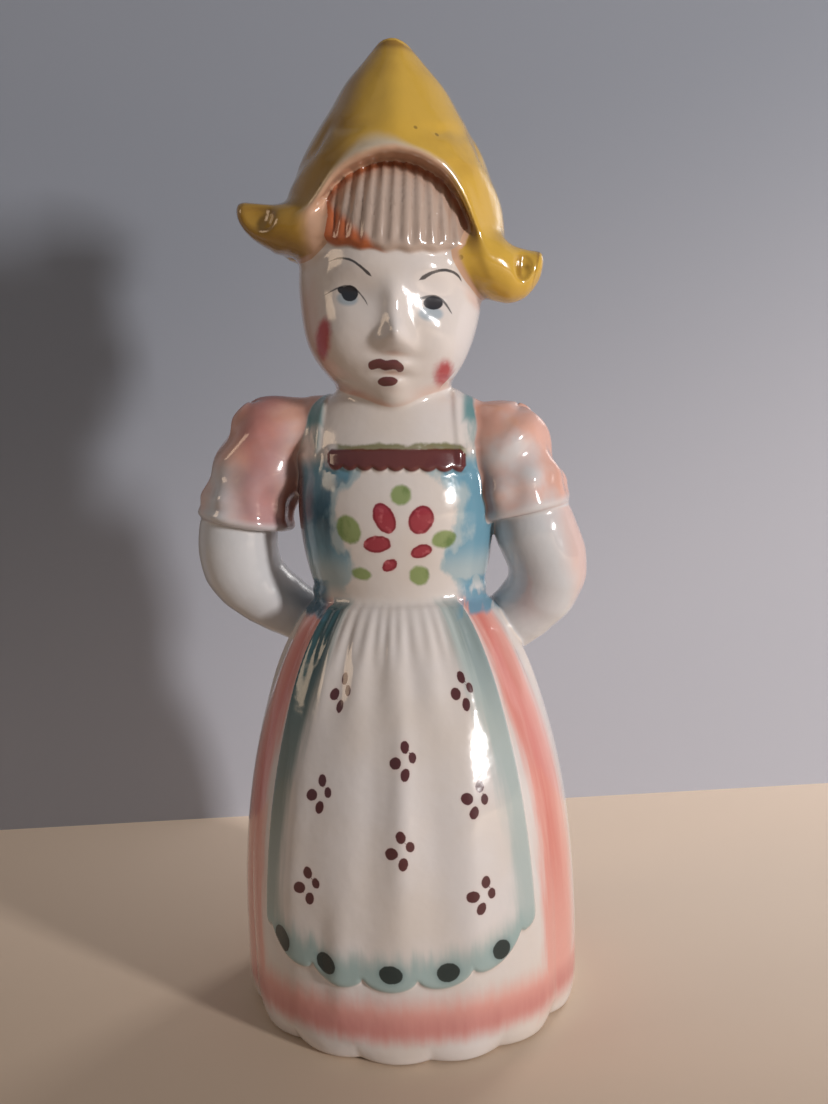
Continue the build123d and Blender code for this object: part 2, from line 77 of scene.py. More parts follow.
def ramp(value: np.ndarray, low: float, high: float) -> np.ndarray:
    """Rises smoothly from 0 at low to 1 at high.

    Args:
        value: The measure that the ramp follows.
        low: Where the ramp leaves 0.
        high: Where it reaches 1.

    Returns:
        The share, between 0 and 1.
    """
    share = np.clip((value - low) / (high - low), 0.0, 1.0)
    return share * share * (3.0 - 2.0 * share)


def bell(value: np.ndarray, centre: float, reach: float) -> np.ndarray:
    """One at the centre, falling smoothly to nothing over about twice the reach.

    Args:
        value: The measure that the bell follows.
        centre: Where it is 1.
        reach: How far it spreads.

    Returns:
        The height of the bell.
    """
    return np.exp(-(((value - centre) / reach) ** 2))


def soft_min(first: np.ndarray, second: np.ndarray, blend: float) -> np.ndarray:
    """Joins two forms with a fillet of clay.

    Args:
        first: Depths of one form.
        second: Depths of the other.
        blend: Width of the fillet.

    Returns:
        Depths of both together.
    """
    share = np.clip(0.5 + 0.5 * (second - first) / blend, 0.0, 1.0)
    return second + (first - second) * share - blend * share * (1.0 - share)


def soft_max(first: np.ndarray, second: np.ndarray, blend: float) -> np.ndarray:
    """What two forms have in common, with a rounded edge.

    Args:
        first: Depths of one form.
        second: Depths of the other.
        blend: Width of the rounding.

    Returns:
        Depths of the common part.
    """
    return -soft_min(-first, -second, blend)


def profile(height: np.ndarray, stations: list[tuple[float, ...]], column: int) -> np.ndarray:
    """A smooth line through stations, with no overshoot between two of the same size.

    Args:
        height: Where the line is read.
        stations: Rows that start with a height and rise.
        column: Which figure of each row is read.

    Returns:
        The size at each height.
    """
    heights = np.array([row[0] for row in stations])
    sizes = np.array([row[column] for row in stations])
    slopes = np.gradient(sizes, heights)
    height = np.clip(height, heights[0], heights[-1])
    index = np.clip(np.searchsorted(heights, height, side="right") - 1, 0, len(heights) - 2)
    span = heights[index + 1] - heights[index]
    t = (height - heights[index]) / span
    start, end = sizes[index], sizes[index + 1]
    lead, trail = slopes[index] * span, slopes[index + 1] * span
    return ((2 * t**3 - 3 * t**2 + 1) * start + (t**3 - 2 * t**2 + t) * lead
            + (3 * t**2 - 2 * t**3) * end + (t**3 - t**2) * trail)


def oval_depth(across: np.ndarray, along: np.ndarray, half_across: np.ndarray,
               half_along: np.ndarray) -> np.ndarray:
    """Depth under an oval's edge, measured from its centre.

    Args:
        across: Place on the first axis.
        along: Place on the second axis.
        half_across: Half size on the first axis.
        half_along: Half size on the second axis.

    Returns:
        Negative inside and positive outside.
    """
    share = np.sqrt((across / half_across) ** 2 + (along / half_along) ** 2)
    distance = np.sqrt(across**2 + along**2)
    return distance - distance / np.maximum(share, 1e-3)


@dataclass(frozen=True)
class Axes:
    """A turned set of axes on which one part of the figure is shaped.

    Attributes:
        origin: Its zero, in the figure's axes.
        tilt: Degrees that its top leans towards +X.
        turn: Degrees that its front turns towards +X.
    """

    origin: Point
    tilt: float
    turn: float = 0.0

    def directions(self) -> tuple[Vector, Vector, Vector]:
        """The three unit directions, in the figure's axes."""
        tilt, turn = math.radians(self.tilt), math.radians(self.turn)
        side = Vector((math.cos(turn) * math.cos(tilt), math.sin(turn), -math.cos(turn) * math.sin(tilt)))
        up = Vector((math.sin(tilt), 0.0, math.cos(tilt)))
        side.normalize()
        return side, up.cross(side), up

    def local(self, x: np.ndarray, y: np.ndarray, z: np.ndarray) -> tuple[np.ndarray, ...]:
        """Places on these axes.

        Args:
            x: Places on the figure's first axis.
            y: Places on its second axis.
            z: Places on its third axis.

        Returns:
            The same places, measured here.
        """
        dx, dy, dz = x - self.origin[0], y - self.origin[1], z - self.origin[2]
        return tuple(dx * axis.x + dy * axis.y + dz * axis.z for axis in self.directions())

    def world(self, place: Point) -> Vector:
        """A place of these axes in the figure's own."""
        side, back, up = self.directions()
        return Vector(self.origin) + side * place[0] + back * place[1] + up * place[2]


HEAD_AXES = Axes((0.5, -1.0, 156.0), 5.0, 8.0)


# Touches of the brush, measured over the surface


@dataclass(frozen=True)
class Dab:
    """One touch of the brush: its middle, its half sizes and its turn in degrees."""

    x: float
    z: float
    half_x: float
    half_z: float
    turn: float = 0.0

    def outside(self, across: np.ndarray, up: np.ndarray) -> np.ndarray:
        """Distance outside the touch, negative under the paint.

        Args:
            across: Places across the picture.
            up: Places up the picture.

        Returns:
            Millimetres from the edge of the paint.
        """
        c, s = math.cos(math.radians(self.turn)), math.sin(math.radians(self.turn))
        dx, dz = across - self.x, up - self.z
        return oval_depth(dx * c + dz * s, dz * c - dx * s, self.half_x, self.half_z)


@dataclass(frozen=True)
class Stroke:
    """One line drawn with a fine brush.

    Attributes:
        points: Places along the line.
        half: Half thickness where it is full.
        start: Share of that thickness at its start.
        end: Share of that thickness at its end.
    """

    points: tuple[tuple[float, float], ...]
    half: float
    start: float = 0.4
    end: float = 0.4

    def measure(self, across: np.ndarray, up: np.ndarray) -> tuple[np.ndarray, ...]:
        """Where places lie from the line.

        Args:
            across: Places across the picture.
            up: Places up the picture.

        Returns:
            Distance from the line, the same with a sign for its side, and the half thickness there.
        """
        line = np.array(self.points)
        steps = np.linspace(0.0, len(line) - 1.0, 8 * len(line))
        path = np.stack([profile(steps, [(k, value) for k, value in enumerate(axis)], 1) for axis in line.T])
        along = np.gradient(path, axis=1)
        along /= np.linalg.norm(along, axis=0)
        away = np.hypot(across[:, None] - path[0], up[:, None] - path[1])
        nearest = np.argmin(away, axis=1)
        dx, dz = across - path[0][nearest], up - path[1][nearest]
        tx, tz = along[0][nearest], along[1][nearest]
        share = nearest / (len(steps) - 1)
        full = np.sin(math.pi * share)
        ends = self.start + (self.end - self.start) * share
        half = self.half * (ends + (1.0 - ends) * full) - np.abs(dx * tx + dz * tz) * 0.4
        return away.min(axis=1), dx * tz - dz * tx, half


def outside_all(touches: tuple[Dab, ...], across: np.ndarray, up: np.ndarray) -> np.ndarray:
    """Distance outside the nearest of several touches."""
    return np.min([dab.outside(across, up) for dab in touches], axis=0)


# The parts of the casting


class Part(Enum):
    """The cast pieces: CAD node, the piece that stands for it, and its material slot."""

    BODY = ("figure_body", "glazed_figure_body", "white_glaze")
    HEAD = ("head", "glazed_head", "skin_glaze")
    CAP = ("dutch_cap", "glazed_cap", "yellow_glaze")
    RIGHT_ARM = ("right_arm", "glazed_right_arm", "sleeve_glaze")
    LEFT_ARM = ("left_arm", "glazed_left_arm", "sleeve_glaze")

    @property
    def node(self) -> str:
        """The CAD node."""
        return self.value[0]

    @property
    def piece(self) -> str:
        """The mesh that stands for the node."""
        return self.value[1]

    @property
    def slot(self) -> str:
        """The record's material slot."""
        return self.value[2]


@dataclass
class Clay:
    """A block of clay, kept as the depth under its surface at even steps.

    Attributes:
        low: Lowest corner.
        high: Highest corner.
        step: Distance between two readings.
    """

    low: Point
    high: Point
    step: float = 0.45
    depth: np.ndarray = field(init=False)

    def __post_init__(self) -> None:
        """Starts with no clay at all."""
        size = tuple(int(math.ceil((b - a) / self.step)) + 1 for a, b in zip(self.low, self.high))
        self.depth = np.full(size, FAR, np.float32)

    def window(self, low: Point, high: Point) -> tuple[tuple[slice, ...], tuple[np.ndarray, ...]]:
        """The readings inside a box.

        Args:
            low: Lowest corner of the box.
            high: Highest corner of the box.

        Returns:
            The slices of the block and the places along each axis.
        """
        spans, places = [], []
        for axis in range(3):
            start = max(0, int((low[axis] - self.low[axis]) / self.step))
            stop = min(self.depth.shape[axis], int((high[axis] - self.low[axis]) / self.step) + 2)
            spans.append(slice(start, stop))
            places.append((self.low[axis] + self.step * np.arange(start, stop)).astype(np.float32))
        return tuple(spans), np.meshgrid(*places, indexing="ij", sparse=True)

    def add(self, form: "Form") -> None:
        """Lays a form on, with its own fillet."""
        spans, places = self.window(*form.reach())
        self.depth[spans] = soft_min(self.depth[spans], form.depth(*places), form.fillet)

    def carve(self, form: "Form") -> None:
        """Takes a form away, with its own rounding."""
        spans, places = self.window(*form.reach())
        self.depth[spans] = soft_max(self.depth[spans], -form.depth(*places), form.fillet)

    def read(self, points: np.ndarray) -> np.ndarray:
        """Depth at any points.

        Args:
            points: Places, one a row.

        Returns:
            The depth at each place.
        """
        at = (points - np.array(self.low)) / self.step
        limit = np.array(self.depth.shape) - 2
        cell = np.clip(np.floor(at).astype(int), 0, limit)
        part = np.clip(at - cell, 0.0, 1.0)
        total = np.zeros(len(points))
        for corner in np.ndindex(2, 2, 2):
            weight = np.prod(np.where(np.array(corner) == 1, part, 1.0 - part), axis=1)
            i, j, k = (cell + corner).T
            total += weight * self.depth[i, j, k]
        return total

    def normals(self, points: np.ndarray) -> np.ndarray:
        """Outward directions at points on the surface.

        Args:
            points: Places, one a row.

        Returns:
            Unit directions, one a row.
        """
        slopes = np.stack([
            self.read(points + offset) - self.read(points - offset) for offset in np.eye(3) * self.step
        ], axis=1)
        return slopes / np.maximum(np.linalg.norm(slopes, axis=1, keepdims=True), 1e-6)

    def surface(self) -> tuple[np.ndarray, np.ndarray]:
        """The fired surface: its points in millimetres and its quads."""
        band = 3.0 * self.step
        grid = openvdb.FloatGrid(band)
        grid.copyFromArray(np.clip(self.depth, -band, band))
        points, quads = grid.convertToQuads(0.0)
        points = points * self.step + np.array(self.low)
        for _ in range(2):
            points = points - self.normals(points) * self.read(points)[:, None]
        return points, quads


@dataclass
class Form:
    """One lump of clay. Its depth is negative inside.

    Attributes:
        fillet: Width of the fillet where it joins what is there.
    """

    fillet: float = 1.5

    def reach(self) -> tuple[Point, Point]:
        """The box that holds the form and its fillet."""
        raise NotImplementedError

    def depth(self, x: np.ndarray, y: np.ndarray, z: np.ndarray) -> np.ndarray:
        """Depth of places under the form's surface."""
        raise NotImplementedError


@dataclass
class Skirt(Form):
    """The skirt with its apron: an oval bell with gathers, soft folds and a scalloped hem."""

    fillet: float = 0.8
    waist: float = 90.0
    full: float = 17.0
    waist_half: tuple[float, float] = (18.5, 14.5)
    full_half: tuple[float, float] = (37.5, 34.5)
    swell: float = 0.7
    roll: float = 2.2
    roll_height: float = 9.0
    scallops: int = 14
    scallop_depth: float = 1.3
    scallop_height: float = 5.5
    apron_angle: float = 50.0
    apron_hem: float = 19.6
    apron_relief: float = 0.8
    lobe_angle: float = 18.0
    lobe_drop: float = 2.8

    def reach(self) -> tuple[Point, Point]:
        """The box that holds the skirt."""
        return (-41.0, -38.0, -2.0), (41.0, 38.0, self.waist + 5.0)

    def half(self, z: np.ndarray, axis: int) -> np.ndarray:
        """Half width (axis 0) or half depth (axis 1) at each height."""
        fall = np.clip((self.waist - z) / (self.waist - self.full), 0.0, 1.0)
        spread = np.sin(math.pi / 2 * fall**self.swell)
        roll = np.clip(1.0 - z / self.roll_height, 0.0, 1.0)
        grown = self.waist_half[axis] + (self.full_half[axis] - self.waist_half[axis]) * spread
        return grown - self.roll * (1.0 - np.sqrt(1.0 - roll**2))

    def hem_of_apron(self, angle: np.ndarray) -> np.ndarray:
        """Height of the apron's hanging lobes at each angle from the front, in degrees."""
        share = np.abs(angle) / self.apron_angle
        place = (angle + self.lobe_angle / 2) / self.lobe_angle
        lobe = 4.0 * (place - np.floor(place)) * (1.0 - (place - np.floor(place)))
        return self.apron_hem + 9.0 * share**3 - self.lobe_drop * np.sqrt(lobe)

    def apron(self, angle: np.ndarray, z: np.ndarray) -> np.ndarray:
        """Distance inside the apron's edge, positive on the apron."""
        side = (self.apron_angle - np.abs(angle - 1.5)) * 0.6
        return soft_min(side, z - self.hem_of_apron(angle), 1.5)

    def relief(self, angle: np.ndarray, z: np.ndarray) -> np.ndarray:
        """What stands proud of the plain bell.

        Args:
            angle: Degrees from the front.
            z: Heights.

        Returns:
            Heights of the relief.
        """
        lobe = np.abs(np.mod(angle * self.scallops / 360.0 + 0.5, 1.0) - 0.5) * 2.0
        hem = self.scallop_depth * np.clip(1.0 - z / self.scallop_height, 0.0, 1.0)
        pleat = 0.75 * ramp(z, 60.0, 12.0) * ramp(np.abs(angle), 50.0, 62.0)
        apron = self.apron_relief * ramp(self.apron(angle, z), -0.7, 0.7)
        raised = apron - hem * lobe**2 - pleat * lobe**2
        gathers = np.sin(np.radians(angle * 52.0 + 40.0 * np.sin(angle * 0.19)))
        raised = raised + 0.16 * gathers * bell(z, 84.5, 5.0) * ramp(np.abs(angle), 62.0, 52.0)
        raised = raised + 0.3 * np.sin(np.radians(angle * 21.0 + 20.0)) * bell(z, 77.0, 8.0)
        for centre, width, height, top, drop in (
            (6.5, 4.0, 0.75, 62.0, 22.0), (-5.0, 5.5, -0.55, 55.0, 26.0), (17.0, 6.0, -0.6, 52.0, 26.0),
            (29.0, 5.0, 0.5, 44.0, 22.0), (-23.0, 4.5, -0.35, 26.0, 9.0), (-17.0, 4.0, 0.35, 26.0, 10.0),
            (-34.0, 5.0, 0.5, 48.0, 24.0),
        ):
            drift = centre + (z - top) * 0.07
            raised = raised + height * bell(angle, drift, width) * bell(z, top - drop * 0.4, drop)
        return raised

    def depth(self, x: np.ndarray, y: np.ndarray, z: np.ndarray) -> np.ndarray:
        """Depth under the skirt's surface."""
        across, along = self.half(z, 0), self.half(z, 1)
        slope = self.half(z - 0.5, 0) - self.half(z + 0.5, 0)
        depth = oval_depth(x, y, across, along) / np.sqrt(1.0 + np.clip(slope, -2.0, 2.0) ** 2)
        depth = depth - self.relief(np.degrees(np.arctan2(x, -y)), z)
        return soft_max(soft_max(depth, -z, 0.8), z - self.waist - 1.0, 1.5)


@dataclass
class Bodice(Form):
    """The bodice with its straps, neck trim and waist tie, the shoulders and the neck."""

    fillet: float = 1.2
    stations: tuple[tuple[float, ...], ...] = (
        (82.0, 17.6, 14.4, 14.4), (90.0, 18.3, 14.7, 14.2), (99.0, 20.3, 16.4, 14.4),
        (109.0, 21.0, 17.6, 14.5), (120.0, 20.4, 15.8, 14.5), (127.0, 20.6, 13.6, 13.6),
        (131.5, 17.6, 11.8, 12.0), (136.0, 11.6, 9.9, 11.0), (139.0, 10.0, 9.4, 10.2), (146.0, 9.4, 9.3, 9.4),
    )

    def reach(self) -> tuple[Point, Point]:
        """The box that holds the bodice."""
        return (-26.0, -22.0, 80.0), (26.0, 20.0, 148.0)

    def depth(self, x: np.ndarray, y: np.ndarray, z: np.ndarray) -> np.ndarray:
        """Depth under the bodice's surface."""
        half, front, back = (profile(z, self.stations, column) for column in (1, 2, 3))
        depth = oval_depth(x, y - (back - front) / 2, half, (front + back) / 2)
        slope = profile(z - 0.5, self.stations, 1) - profile(z + 0.5, self.stations, 1)
        depth = depth / np.sqrt(1.0 + np.clip(slope, -1.6, 1.6) ** 2)
        depth = depth - self.relief(x, y, z)
        return soft_max(soft_max(depth, 81.0 - z, 1.0), z - 147.0, 1.0)

    def relief(self, x: np.ndarray, y: np.ndarray, z: np.ndarray) -> np.ndarray:
        """Heights of the straps, trim, tie and the bib's edge."""
        front = ramp(-y, -2.0, 3.0)
        step = (x + 12.0) / 3.2
        scallop = np.abs(step - np.floor(step) - 0.5) * 2.0
        bottom = 117.9 - 0.05 * x + 0.7 * scallop**2
        inside = np.minimum(np.minimum(z - bottom, 122.6 - 0.03 * x - z), np.minimum(x + 12.4, 16.4 - x))
        trim = 1.0 * ramp(inside, -0.5, 0.6) * front
        strap_line = 18.0 - 0.08 * (z - 120.0)
        strap = 0.6 * ramp(3.4 - np.abs(np.abs(x) - strap_line), -0.5, 0.6) * ramp(z, 117.0, 121.0)
        bib = 0.45 * ramp(122.5 - z, -0.6, 0.8) * ramp(z, 96.0, 112.0) * front
        tie = 0.7 * ramp(3.0 - np.abs(z - 90.0), -0.5, 1.0) * ramp(np.abs(x), 12.5, 16.0)
        return trim + strap + bib + tie


@dataclass
class Head(Form):
    """The head: an egg with the small raised features of a painted face."""

    fillet: float = 2.2
    half_width: float = 19.6
    front: float = 20.6
    back: float = 19.6
    middle: float = 3.0
    chin_drop: float = 28.6
    crown_rise: float = 25.0

    def reach(self) -> tuple[Point, Point]:
        """The box that holds the head."""
        return (-24.0, -29.0, 125.0), (26.0, 23.0, 186.0)

    def depth(self, x: np.ndarray, y: np.ndarray, z: np.ndarray) -> np.ndarray:
        """Depth under the face and crown."""
        u, v, w = HEAD_AXES.local(x, y, z)
        u = u + 0.06 * np.minimum(w, 0.0)
        u = u * np.where(u < 0.0, 1.0 - 0.09 * bell(w, -16.0, 9.0), 1.0)
        w = w - self.middle
        rise = w / np.where(w > 0, self.crown_rise, self.chin_drop)
        deep = np.abs(v) / np.where(v < 0, self.front, self.back)
        power = np.where(v < 0, 2.6, 2.1)
        share = np.sqrt((u / self.half_width) ** 2 + (deep**power + np.abs(rise) ** power) ** (2.0 / power))
        distance = np.sqrt(u**2 + v**2 + w**2)
        depth = distance - distance / np.maximum(share, 1e-3)
        return depth - self.features(u, w + self.middle, v)

    def features(self, u: np.ndarray, w: np.ndarray, v: np.ndarray) -> np.ndarray:
        """Heights of the nose, cheeks, lips, chin and eye hollows, on the head's axes."""
        nose = 3.6 * bell(u, 0.9, 2.3) * bell(w, -11.2, 3.0) + 1.4 * bell(u, 0.5, 2.0) * bell(w, -5.5, 4.0)
        wings = 0.9 * (bell(u, -1.6, 1.5) + bell(u, 3.3, 1.5)) * bell(w, -12.6, 1.6)
        under = -0.8 * bell(u, 0.9, 4.0) * bell(w, -14.9, 1.0)
        lips = 0.9 * bell(u, 0.6, 3.4) * bell(w, -17.0, 1.3) + 0.8 * bell(u, 0.4, 2.4) * bell(w, -20.2, 1.3)
        parting = -0.5 * bell(u, 0.5, 3.4) * bell(w, -18.6, 0.7)
        chin = 1.7 * bell(u, 0.3, 4.5) * bell(w, -23.8, 3.0)
        cheeks = 1.1 * (bell(u, -10.5, 5.0) + bell(u, 11.5, 5.0)) * bell(w, -12.5, 6.5)
        hollows = -0.9 * (bell(u, -6.2, 4.2) + bell(u, 9.0, 4.2)) * bell(w, -3.6, 3.0)
        brows = 0.5 * (bell(u, -6.0, 5.5) + bell(u, 9.0, 5.5)) * bell(w, 2.2, 2.4)
        return (nose + wings + under + lips + parting + chin + cheeks + hollows + brows) * ramp(-v, 2.0, 9.0)


@dataclass
class Fringe(Form):
    """The fringe of hair under the brim, combed into strands."""

    fillet: float = 0.5
    half_width: float = 14.6
    lift: float = 1.1
    strand: float = 2.7

    def reach(self) -> tuple[Point, Point]:
        """The box that holds the fringe."""
        return (-20.0, -28.0, 157.0), (24.0, -4.0, 183.0)

    def inside(self, u: np.ndarray, w: np.ndarray) -> np.ndarray:
        """Distance inside the fringe's ragged outline, seen from the front."""
        ends = 4.4 + 0.010 * u**2 + 0.2 * np.sin(u * 1.3)
        side = np.where(u < 0.0, self.half_width + 4.0, self.half_width) - np.abs(u)
        return np.minimum(w - ends, side + 0.25 * (w - 5.0))

    def depth(self, x: np.ndarray, y: np.ndarray, z: np.ndarray) -> np.ndarray:
        """Depth under the strands, and outside them away from the fringe."""
        u, _, w = HEAD_AXES.local(x, y, z)
        inside = self.inside(u, w)
        comb = np.cos((u * (1.0 + 0.012 * (w - 5.0))) * 2.0 * math.pi / self.strand)
        comb = 0.26 * comb + 0.12 * np.cos(u * 5.9 + 0.8)
        lift = (self.lift + comb * ramp(inside, 0.2, 3.0)) * ramp(inside, -0.4, 1.2)
        lift = lift - 0.8 * (1.0 - ramp(inside, -0.4, 0.4))
        return Head().depth(x, y, z) - lift


@dataclass
class Cap(Form):
    """The pointed cap, cut away over the face along the arch of its brim."""

    fillet: float = 0.7
    outline: tuple[tuple[float, float], ...] = (
        (-1.0, 0.3), (0.0, 1.2), (0.5, 2.4), (1.2, 3.5), (2.4, 4.9), (4.6, 7.1), (7.8, 10.1), (13.3, 13.7),
        (18.7, 17.2), (24.2, 20.1), (29.6, 22.4), (35.1, 23.5), (40.0, 23.8), (48.0, 23.8),
    )
    shoulder: float = 15.0
    peak: float = 47.8
    rim: float = 2.0
    front: float = 23.6
    back: float = 22.6
    right_arch: tuple[tuple[float, float], ...] = (
        (0.0, 22.3), (3.8, 21.8), (6.8, 20.7), (9.2, 19.5), (11.6, 17.6), (14.7, 13.6), (18.0, 10.3),
        (20.6, 7.6), (22.4, 5.8), (24.0, 4.6), (26.0, 3.6),
    )
    left_arch: tuple[tuple[float, float], ...] = (
        (0.0, 22.3), (3.8, 21.8), (6.8, 20.7), (9.2, 19.5), (11.3, 17.5), (13.2, 15.0), (16.0, 10.0),
        (18.2, 6.4), (20.6, 2.0), (22.0, -1.0), (24.0, -6.0),
    )

    def reach(self) -> tuple[Point, Point]:
        """The box that holds the cap and its wings."""
        return (-37.0, -29.0, 148.0), (39.0, 26.0, 210.0)

    def arch_level(self, u: np.ndarray) -> np.ndarray:
        """Level of the brim's edge at each place across the face."""
        right, left = (profile(np.abs(u), arch, 1) for arch in (self.right_arch, self.left_arch))
        return np.where(u < 0.0, right, left)

    def from_brim(self, u: np.ndarray, w: np.ndarray) -> np.ndarray:
        """Distance above the brim's edge, seen from the front."""
        slope = (self.arch_level(u + 0.4) - self.arch_level(u - 0.4)) / 0.8
        return (w - self.arch_level(u)) / np.sqrt(1.0 + slope**2)

    def body(self, u: np.ndarray, v: np.ndarray, w: np.ndarray) -> np.ndarray:
        """Depth under the whole cap before its face opening is cut."""
        fall = np.clip((w - self.shoulder) / (self.peak - self.shoulder), 0.0, 1.0)
        rise = np.clip((w - 22.3) / (self.peak - 22.3), 0.0, 1.0)
        below = self.peak - w
        half = profile(below, self.outline, 1)
        front = self.front - 14.9 * rise**1.15
        back = self.back - 27.1 * fall**1.8
        along = np.maximum((front + back) / 2, 0.8 * half)
        shift = -1.8 * fall**2
        depth = oval_depth(u - shift, v - (back - front) / 2, half, along)
        slope = (profile(below + 0.4, self.outline, 1) - profile(below - 0.4, self.outline, 1)) / 0.8
        depth = depth / np.sqrt(1.0 + np.clip(slope, 0.0, 3.0) ** 2)
        keel = 0.7 * bell(u, shift - 0.3, 3.4) * ramp(w, 22.0, 30.0) * ramp(-v, -2.0, 4.0)
        fold = self.from_brim(u, w)
        crease = -0.4 * bell(fold, 5.0 + 0.2 * np.abs(u), 1.2) * ramp(np.abs(u), 3.0, 9.0)
        lip = 0.5 * bell(fold, 0.8, 1.3)
        return soft_max(depth - (keel + (crease + lip) * ramp(-v, 0.0, 5.0)), w - self.peak, 1.0)

    def depth(self, x: np.ndarray, y: np.ndarray, z: np.ndarray) -> np.ndarray:
        """Depth under the cap, with its face opening and underside cut."""
        u, v, w = HEAD_AXES.local(x, y, z)
        whole = self.body(u, v, w)
        opening = soft_max(self.from_brim(u, w), v - 4.0, 2.0)
        cut = soft_max(whole, -opening, 1.3)
        return soft_max(cut, self.rim + 4.0 * ramp(-u, 14.0, 19.0) - w, 1.0)


@dataclass
class Wing(Form):
    """One turned-up end of the brim, scooped in front.

    Attributes:
        side: -1 for the figure's right, 1 for its left.
        stations: Reach, middle level, half height and half thickness along the wing.
    """

    fillet: float = 2.2
    side: int = -1
    stations: tuple[tuple[float, ...], ...] = (
        (16.0, 9.6, 6.6, 9.0), (22.0, 9.9, 5.0, 7.6), (24.5, 10.0, 4.5, 6.4), (26.4, 10.4, 4.1, 5.6),
        (29.1, 11.3, 3.3, 4.4), (30.7, 12.1, 2.5, 3.4), (31.7, 12.7, 1.5, 2.0), (32.3, 13.0, 0.4, 0.6),
    )
    forward: float = 8.0
    tip: float = 32.3

    def reach(self) -> tuple[Point, Point]:
        """The box that holds the wing."""
        low, high = (-37.0, -8.0) if self.side < 0 else (8.0, 38.0)
        return (low, -28.0, 148.0), (high, 12.0, 182.0)

    def depth(self, x: np.ndarray, y: np.ndarray, z: np.ndarray) -> np.ndarray:
        """Depth under the wing's outer form."""
        u, v, w = HEAD_AXES.local(x, y, z)
        out = self.side * u
        level, high, thick = (profile(out, self.stations, column) for column in (1, 2, 3))
        depth = oval_depth(v + self.forward, w - level, thick, high)
        slope = profile(out - 0.4, self.stations, 2) - profile(out + 0.4, self.stations, 2)
        depth = depth / np.sqrt(1.0 + np.clip(slope / 0.8, 0.0, 2.5) ** 2)
        return soft_max(soft_max(depth, out - self.tip, 1.0), 12.0 - out, 1.0)


@dataclass
class Egg(Form):
    """A rounded hollow or lump on the head's axes.

    Attributes:
        place: Its centre.
        half: Its half sizes.
    """

    place: Point = (0.0, 0.0, 0.0)
    half: Point = (1.0, 1.0, 1.0)

    def reach(self) -> tuple[Point, Point]:
        """The box that holds the egg."""
        centre, size = HEAD_AXES.world(self.place), max(self.half) + self.fillet + 1.0
        return tuple(c - size for c in centre), tuple(c + size for c in centre)

    def depth(self, x: np.ndarray, y: np.ndarray, z: np.ndarray) -> np.ndarray:
        """Depth under the egg's surface."""
        u, v, w = (value - middle for value, middle in zip(HEAD_AXES.local(x, y, z), self.place))
        share = np.sqrt(sum((value / half) ** 2 for value, half in zip((u, v, w), self.half)))
        distance = np.sqrt(u**2 + v**2 + w**2)
        return distance - distance / np.maximum(share, 1e-3)


@dataclass
class Socket(Form):
    """The collar on the back of the cap, or the bore through it.

    Attributes:
        radius: Its radius.
        below: How far it runs into the cap.
        above: How far it runs out of the mouth.
    """

    radius: float = 11.5
    below: float = 15.0
    above: float = 0.0
    mouth: Point = (0.0, 14.0, 36.5)
    lean: float = 35.0

    def reach(self) -> tuple[Point, Point]:
        """The box that holds the collar."""
        centre, size = HEAD_AXES.world(self.mouth), self.radius + max(self.below, self.above) + 2.0
        return tuple(c - size for c in centre), tuple(c + size for c in centre)

    def depth(self, x: np.ndarray, y: np.ndarray, z: np.ndarray) -> np.ndarray:
        """Depth under the round wall and the two ends."""
        _, back, up = HEAD_AXES.directions()
        lean = math.radians(self.lean)
        axis = back * math.sin(lean) + up * math.cos(lean)
        centre = HEAD_AXES.world(self.mouth)
        dx, dy, dz = x - centre.x, y - centre.y, z - centre.z
        along = dx * axis.x + dy * axis.y + dz * axis.z
        across = np.sqrt(np.maximum(dx**2 + dy**2 + dz**2 - along**2, 0.0))
        return soft_max(soft_max(across - self.radius, along - self.above, 0.7), -along - self.below, 0.7)


@dataclass
class Limb(Form):
    """A run of rounded clay through several balls, deeper than it is wide.

    Attributes:
        balls: x, y, z and radius of each ball.
        swell: How much deeper than wide it is.
    """

    fillet: float = 1.6
    balls: tuple[tuple[float, ...], ...] = ()
    swell: float = 1.08
    joint: float = 2.5

    def reach(self) -> tuple[Point, Point]:
        """The box that holds the limb."""
        lows = [tuple(ball[axis] - ball[3] * 1.2 - 3.0 for ball in self.balls) for axis in range(3)]
        highs = [tuple(ball[axis] + ball[3] * 1.2 + 3.0 for ball in self.balls) for axis in range(3)]
        return tuple(min(row) for row in lows), tuple(max(row) for row in highs)

    def depth(self, x: np.ndarray, y: np.ndarray, z: np.ndarray) -> np.ndarray:
        """Depth under the limb's skin."""
        total = None
        for start, end in zip(self.balls, self.balls[1:]):
            a = np.array((start[0], start[1] / self.swell, start[2]))
            b = np.array((end[0], end[1] / self.swell, end[2]))
            run = b - a
            dx, dy, dz = x - a[0], y / self.swell - a[1], z - a[2]
            t = np.clip((dx * run[0] + dy * run[1] + dz * run[2]) / float(run @ run), 0.0, 1.0)
            away = np.sqrt((dx - t * run[0]) ** 2 + (dy - t * run[1]) ** 2 + (dz - t * run[2]) ** 2)
            piece = away - (start[3] + (end[3] - start[3]) * t)
            total = piece if total is None else soft_min(total, piece, self.joint)
        return total


